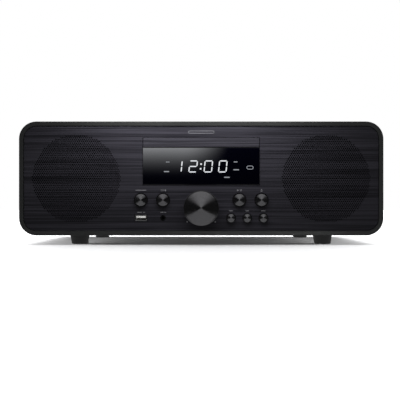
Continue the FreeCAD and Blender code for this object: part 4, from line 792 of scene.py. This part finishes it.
sources = ((-0.0022, 0.0, "post", 0.0022), (0.0, 0.0, "post", 0.0022), (0.0026, 0.0, "dot", 0.0010))
play_pause = (
    (-0.0016, 0.0, "right", 0.0022), (0.0010, 0.0, "post", 0.0022), (0.0024, 0.0, "post", 0.0022),
)
marks_over("button_standby", big_level, (0.0, 0.0, "bar", 0.0125))
marks_over("button_source", big_level, *sources)
marks_over("button_play", big_level, *play_pause)
marks_over("button_eject", big_level, (0.0, 0.0005, "up", 0.0018), (0.0, -0.0011, "bar", 0.0024))
marks_over("button_info", small_level, (0.0, 0.0, "bar", 0.0048))
marks_over("button_menu", small_level, (0.0, 0.0, "bar", 0.0040))
marks_over("button_preset", small_level, (0.0, 0.0, "bar", 0.0050))
marks_over("usb_socket", socket_level, (-0.0016, 0.0, "bar", 0.0060), (0.0034, 0.0, "bar", 0.0024))
marks_over("line_in_jack", socket_level, (-0.0012, 0.0, "bar", 0.0038), (0.0026, 0.0, "bar", 0.0022))
knob_dot_radius, knob_dot_side, knob_dot_level = 0.0009, 0.0162, 0.0268
for side in (-1, 1):
    marks.append(unit_circle * knob_dot_radius + [side * knob_dot_side, knob_dot_level])
raised_outlines("printed_marks", marks, panel_face, print_rise, ink, "cabinet")
badge_level = 0.1302
badge_width, badge_height, badge_line = 0.0300, 0.0032, 0.0005
badge_edge = bar(0.0, badge_level, badge_width, badge_height)
badge_hole = bar(0.0, badge_level, badge_width - 2 * badge_line, badge_height - 2 * badge_line)
raised_ring(
    "blank_badge", badge_edge, badge_hole, panel_face, badge_rise, badge_grey, "cabinet"
)

# ------------------------------------------------------------------ sockets on the front
# A folded, plated steel USB socket with its white tongue, and a black moulded 3.5 mm jack. The
# steel lip is folded outwards over the edge of its opening in the panel.

plated_dark, plated_light = (0.55, 0.55, 0.56), (0.78, 0.78, 0.79)
plated = speckled(
    "bright_plating", plated_dark, plated_light, 0.18, grit=500.0, metallic=1.0, detail=3.0
)[0]
finish(plated, "mains_pins", "encoder_shaft", "guide_rods")


mould_texture_depth = 0.0001
shine_spread = 0.07


def moulded(name, dark, light, roughness, grit=1200.0, relief=0.15):
    """Moulded plastic or rubber: a fine even texture with a little change of tone and of shine."""
    material, tree, surface, texture = speckled(name, dark, light, roughness, grit)
    duller = ramp(tree, texture, 0.0, 1.0, roughness - shine_spread, roughness + shine_spread, rise="LINEAR")
    join(tree, duller, surface.inputs["Roughness"])
    bumped(tree, surface, texture, relief, mould_texture_depth)
    return material


def oblong_tube(name, rows, centre, material, body, corner_steps=7):
    """A tube of rounded oblong section, from rows of half width, half height, corner radius and depth.

    Each corner is a quarter circle about a point drawn in from the corner by its radius. The
    rows are joined in turn, and the last to the first, so that the wall is closed.
    """
    half_x, half_z, radius, depth = (column[:, None, None] for column in np.asarray(rows, float).T)
    quarter = np.arange(4)[:, None] * np.pi / 2 + np.linspace(0, np.pi / 2, corner_steps)
    side_x = np.array([1, -1, -1, 1])[:, None]
    side_z = np.array([1, 1, -1, -1])[:, None]
    x = centre[0] + side_x * (half_x - radius) + radius * np.cos(quarter)
    z = centre[1] + side_z * (half_z - radius) + radius * np.sin(quarter)
    points = np.stack([x, np.broadcast_to(depth, x.shape), z], -1).reshape(-1, 3)
    return mesh_piece(name, points, closed_bands(len(rows), 4 * corner_steps), material, body)


# the shell's nickel is painted darker than bright plating: painted shade, standing in for the shade inside
# the socket's mouth
shaded_nickel_dark, shaded_nickel_light = (0.17, 0.17, 0.175), (0.27, 0.27, 0.275)
shaded_nickel = speckled(
    "nickel_with_painted_shade", shaded_nickel_dark, shaded_nickel_light, 0.3, grit=600.0, metallic=1.0, detail=3.0
)[0]
usb_low, usb_high, usb_centre = measured("usb_socket")
lip_front, shell_back = usb_low[1], usb_high[1] - 0.0004
# half width, half height, corner radius and depth, from the shell's mouth round its folded lip
folded_shell = [
    (0.00625, 0.00256, 0.0005, shell_back), (0.00625, 0.00256, 0.0005, lip_front + 0.0006),
    (0.00635, 0.00266, 0.0006, lip_front + 0.0002), (0.00665, 0.00296, 0.0009, lip_front),
    (0.00700, 0.00336, 0.0012, lip_front + 0.0001), (0.00730, 0.00370, 0.0015, lip_front + 0.0004),
    (0.00730, 0.00370, 0.0015, lip_front + 0.0005), (0.00660, 0.00295, 0.0008, lip_front + 0.0005),
    (0.00660, 0.00295, 0.0008, shell_back),
]
usb_shell = oblong_tube("folded_usb_shell", folded_shell, usb_centre, shaded_nickel, "cabinet")
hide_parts("usb_socket")
white_plastic = moulded("white_plastic", (0.68, 0.68, 0.66), (0.82, 0.82, 0.80), 0.35)
finish(white_plastic, "usb_tongue", "tray_gear", "pulley_gear", "motor_pulley", "feed_gear", "disc_clamp")
finish(white_plastic, "display_module")
tongue_only = lit_only("socket_lamp_lights_only", nodes["usb_tongue"])
over_socket = (usb_centre[0], front - 0.9, usb_centre[1] + 0.34)
area_lamp("socket_lamp", over_socket, width=0.12, height=0.12, power=4.2, tilt=69, reaches=tongue_only)
jack_black = moulded("gloss_black_jack", (0.0004, 0.0004, 0.0005), (0.001, 0.001, 0.0011), 0.3)
finish(jack_black, "line_in_jack")

# ------------------------------------------------------------------ feet
# Four tapered feet moulded in black rubber, each held by a sunk screw. The speakers' surrounds,
# the drive belt and the sleeves of the speakers' leads are of the same rubber.

rubber = moulded("black_rubber", (0.006, 0.006, 0.006), (0.016, 0.016, 0.017), 0.6, 700.0, 0.3)
finish(rubber, "feet", "speaker_surrounds", "loading_belt", "speaker_leads")

# ------------------------------------------------------------------ back panel and its sockets
# A painted sheet with louvres, screwed to the sleeve, with a threaded aerial socket, a
# two-pin mains inlet and the flared ends of the two bass ports.

painted = moulded("black_painted_sheet", (0.012, 0.012, 0.012), (0.024, 0.024, 0.025), 0.5, 900.0, 0.35)
finish(painted, "rear_panel", "speaker_basket_left", "speaker_basket_right")
steel_dark, steel_light = (0.38, 0.38, 0.39), (0.6, 0.6, 0.62)
steel = speckled(
    "zinc_plated_steel", steel_dark, steel_light, 0.35, grit=260.0, metallic=1.0, detail=4.0
)[0]
finish(steel, "rear_screws", "foot_screws", "speaker_screws", "loader_brackets", "clamp_bridge")
finish(steel, "loading_motor", "spindle_motor", "encoder_body", "transformer")
aerial_low, tip_corner, aerial_centre = measured("aerial_socket")
tip = tip_corner[1]
flange_back, flange_face = tip - 0.012, tip - 0.010
flange_radius, neck_radius = 0.0065, 0.004
pin_hole_radius, pin_hole_end = 0.0014, tip - 0.008
root_radius, crest_radius = 0.0043, 0.00475
turn_count = 12
thread_y = np.linspace(flange_face, tip, 2 * turn_count + 1)
thread_radius = np.where(np.arange(2 * turn_count + 1) % 2 == 0, root_radius, crest_radius)
aerial_neck = [
    (0.0, aerial_low[1]), (neck_radius, aerial_low[1]), (neck_radius, flange_back),
    (flange_radius, flange_back), (flange_radius, flange_face),
]
pin_hole = [(pin_hole_radius, tip), (pin_hole_radius, pin_hole_end), (0.0, pin_hole_end)]
aerial_profile = np.concatenate([aerial_neck, np.stack([thread_radius, thread_y], -1), pin_hole])
aerial = lathe("threaded_aerial_socket", aerial_profile, aerial_centre, 48, plated, "cabinet")
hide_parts("aerial_socket")
black_plastic = moulded("black_plastic", (0.008, 0.008, 0.009), (0.018, 0.018, 0.02), 0.45)
finish(black_plastic, "mains_inlet", "reflex_ports")
rear_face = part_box("rear_panel")[1][1]
mains_x = measured("mains_inlet")[2][0]
aerial_mark_level, mains_mark_level = aerial_centre[1] - 0.011, 0.0590
rear_bar_height = 0.0012
aerial_mark = bar(aerial_centre[0], aerial_mark_level, 0.0120, rear_bar_height)
mains_mark = bar(mains_x, mains_mark_level, 0.0180, rear_bar_height)
raised_outlines(
    "rear_marks", [aerial_mark, mains_mark], rear_face, -print_rise, ink, "cabinet"
)

# ------------------------------------------------------------------ inside: boards, drivers and the loader
# Green circuit boards, raw fibreboard, pressed paper cones, ferrite magnets and grey moulded
# frames: seen through the slots or with the drawer out.

finish(black_plastic, "cd_tray", "loader_base", "turntable_hub")
boards = moulded("circuit_board", (0.01, 0.06, 0.025), (0.02, 0.12, 0.05), 0.35, 500.0)
finish(boards, "main_board", "power_board", "control_board", "display_board")
fibreboard = moulded("raw_fibreboard", (0.22, 0.15, 0.09), (0.36, 0.26, 0.17), 0.85, 600.0, 0.4)
finish(fibreboard, "front_baffle", "chamber_dividers")
paper = moulded("pressed_paper", (0.006, 0.006, 0.006), (0.014, 0.014, 0.014), 0.8, 800.0, 0.5)
finish(paper, "speaker_cone_left", "speaker_cone_right")
ferrite = moulded("ferrite", (0.03, 0.03, 0.032), (0.06, 0.06, 0.062), 0.6, 400.0, 0.3)
finish(ferrite, "speaker_magnets")
grey_plastic = moulded("grey_plastic", (0.16, 0.16, 0.165), (0.24, 0.24, 0.25), 0.45)
finish(grey_plastic, "traverse_frame", "laser_sled")
finish(turned_metal, "heat_sink")
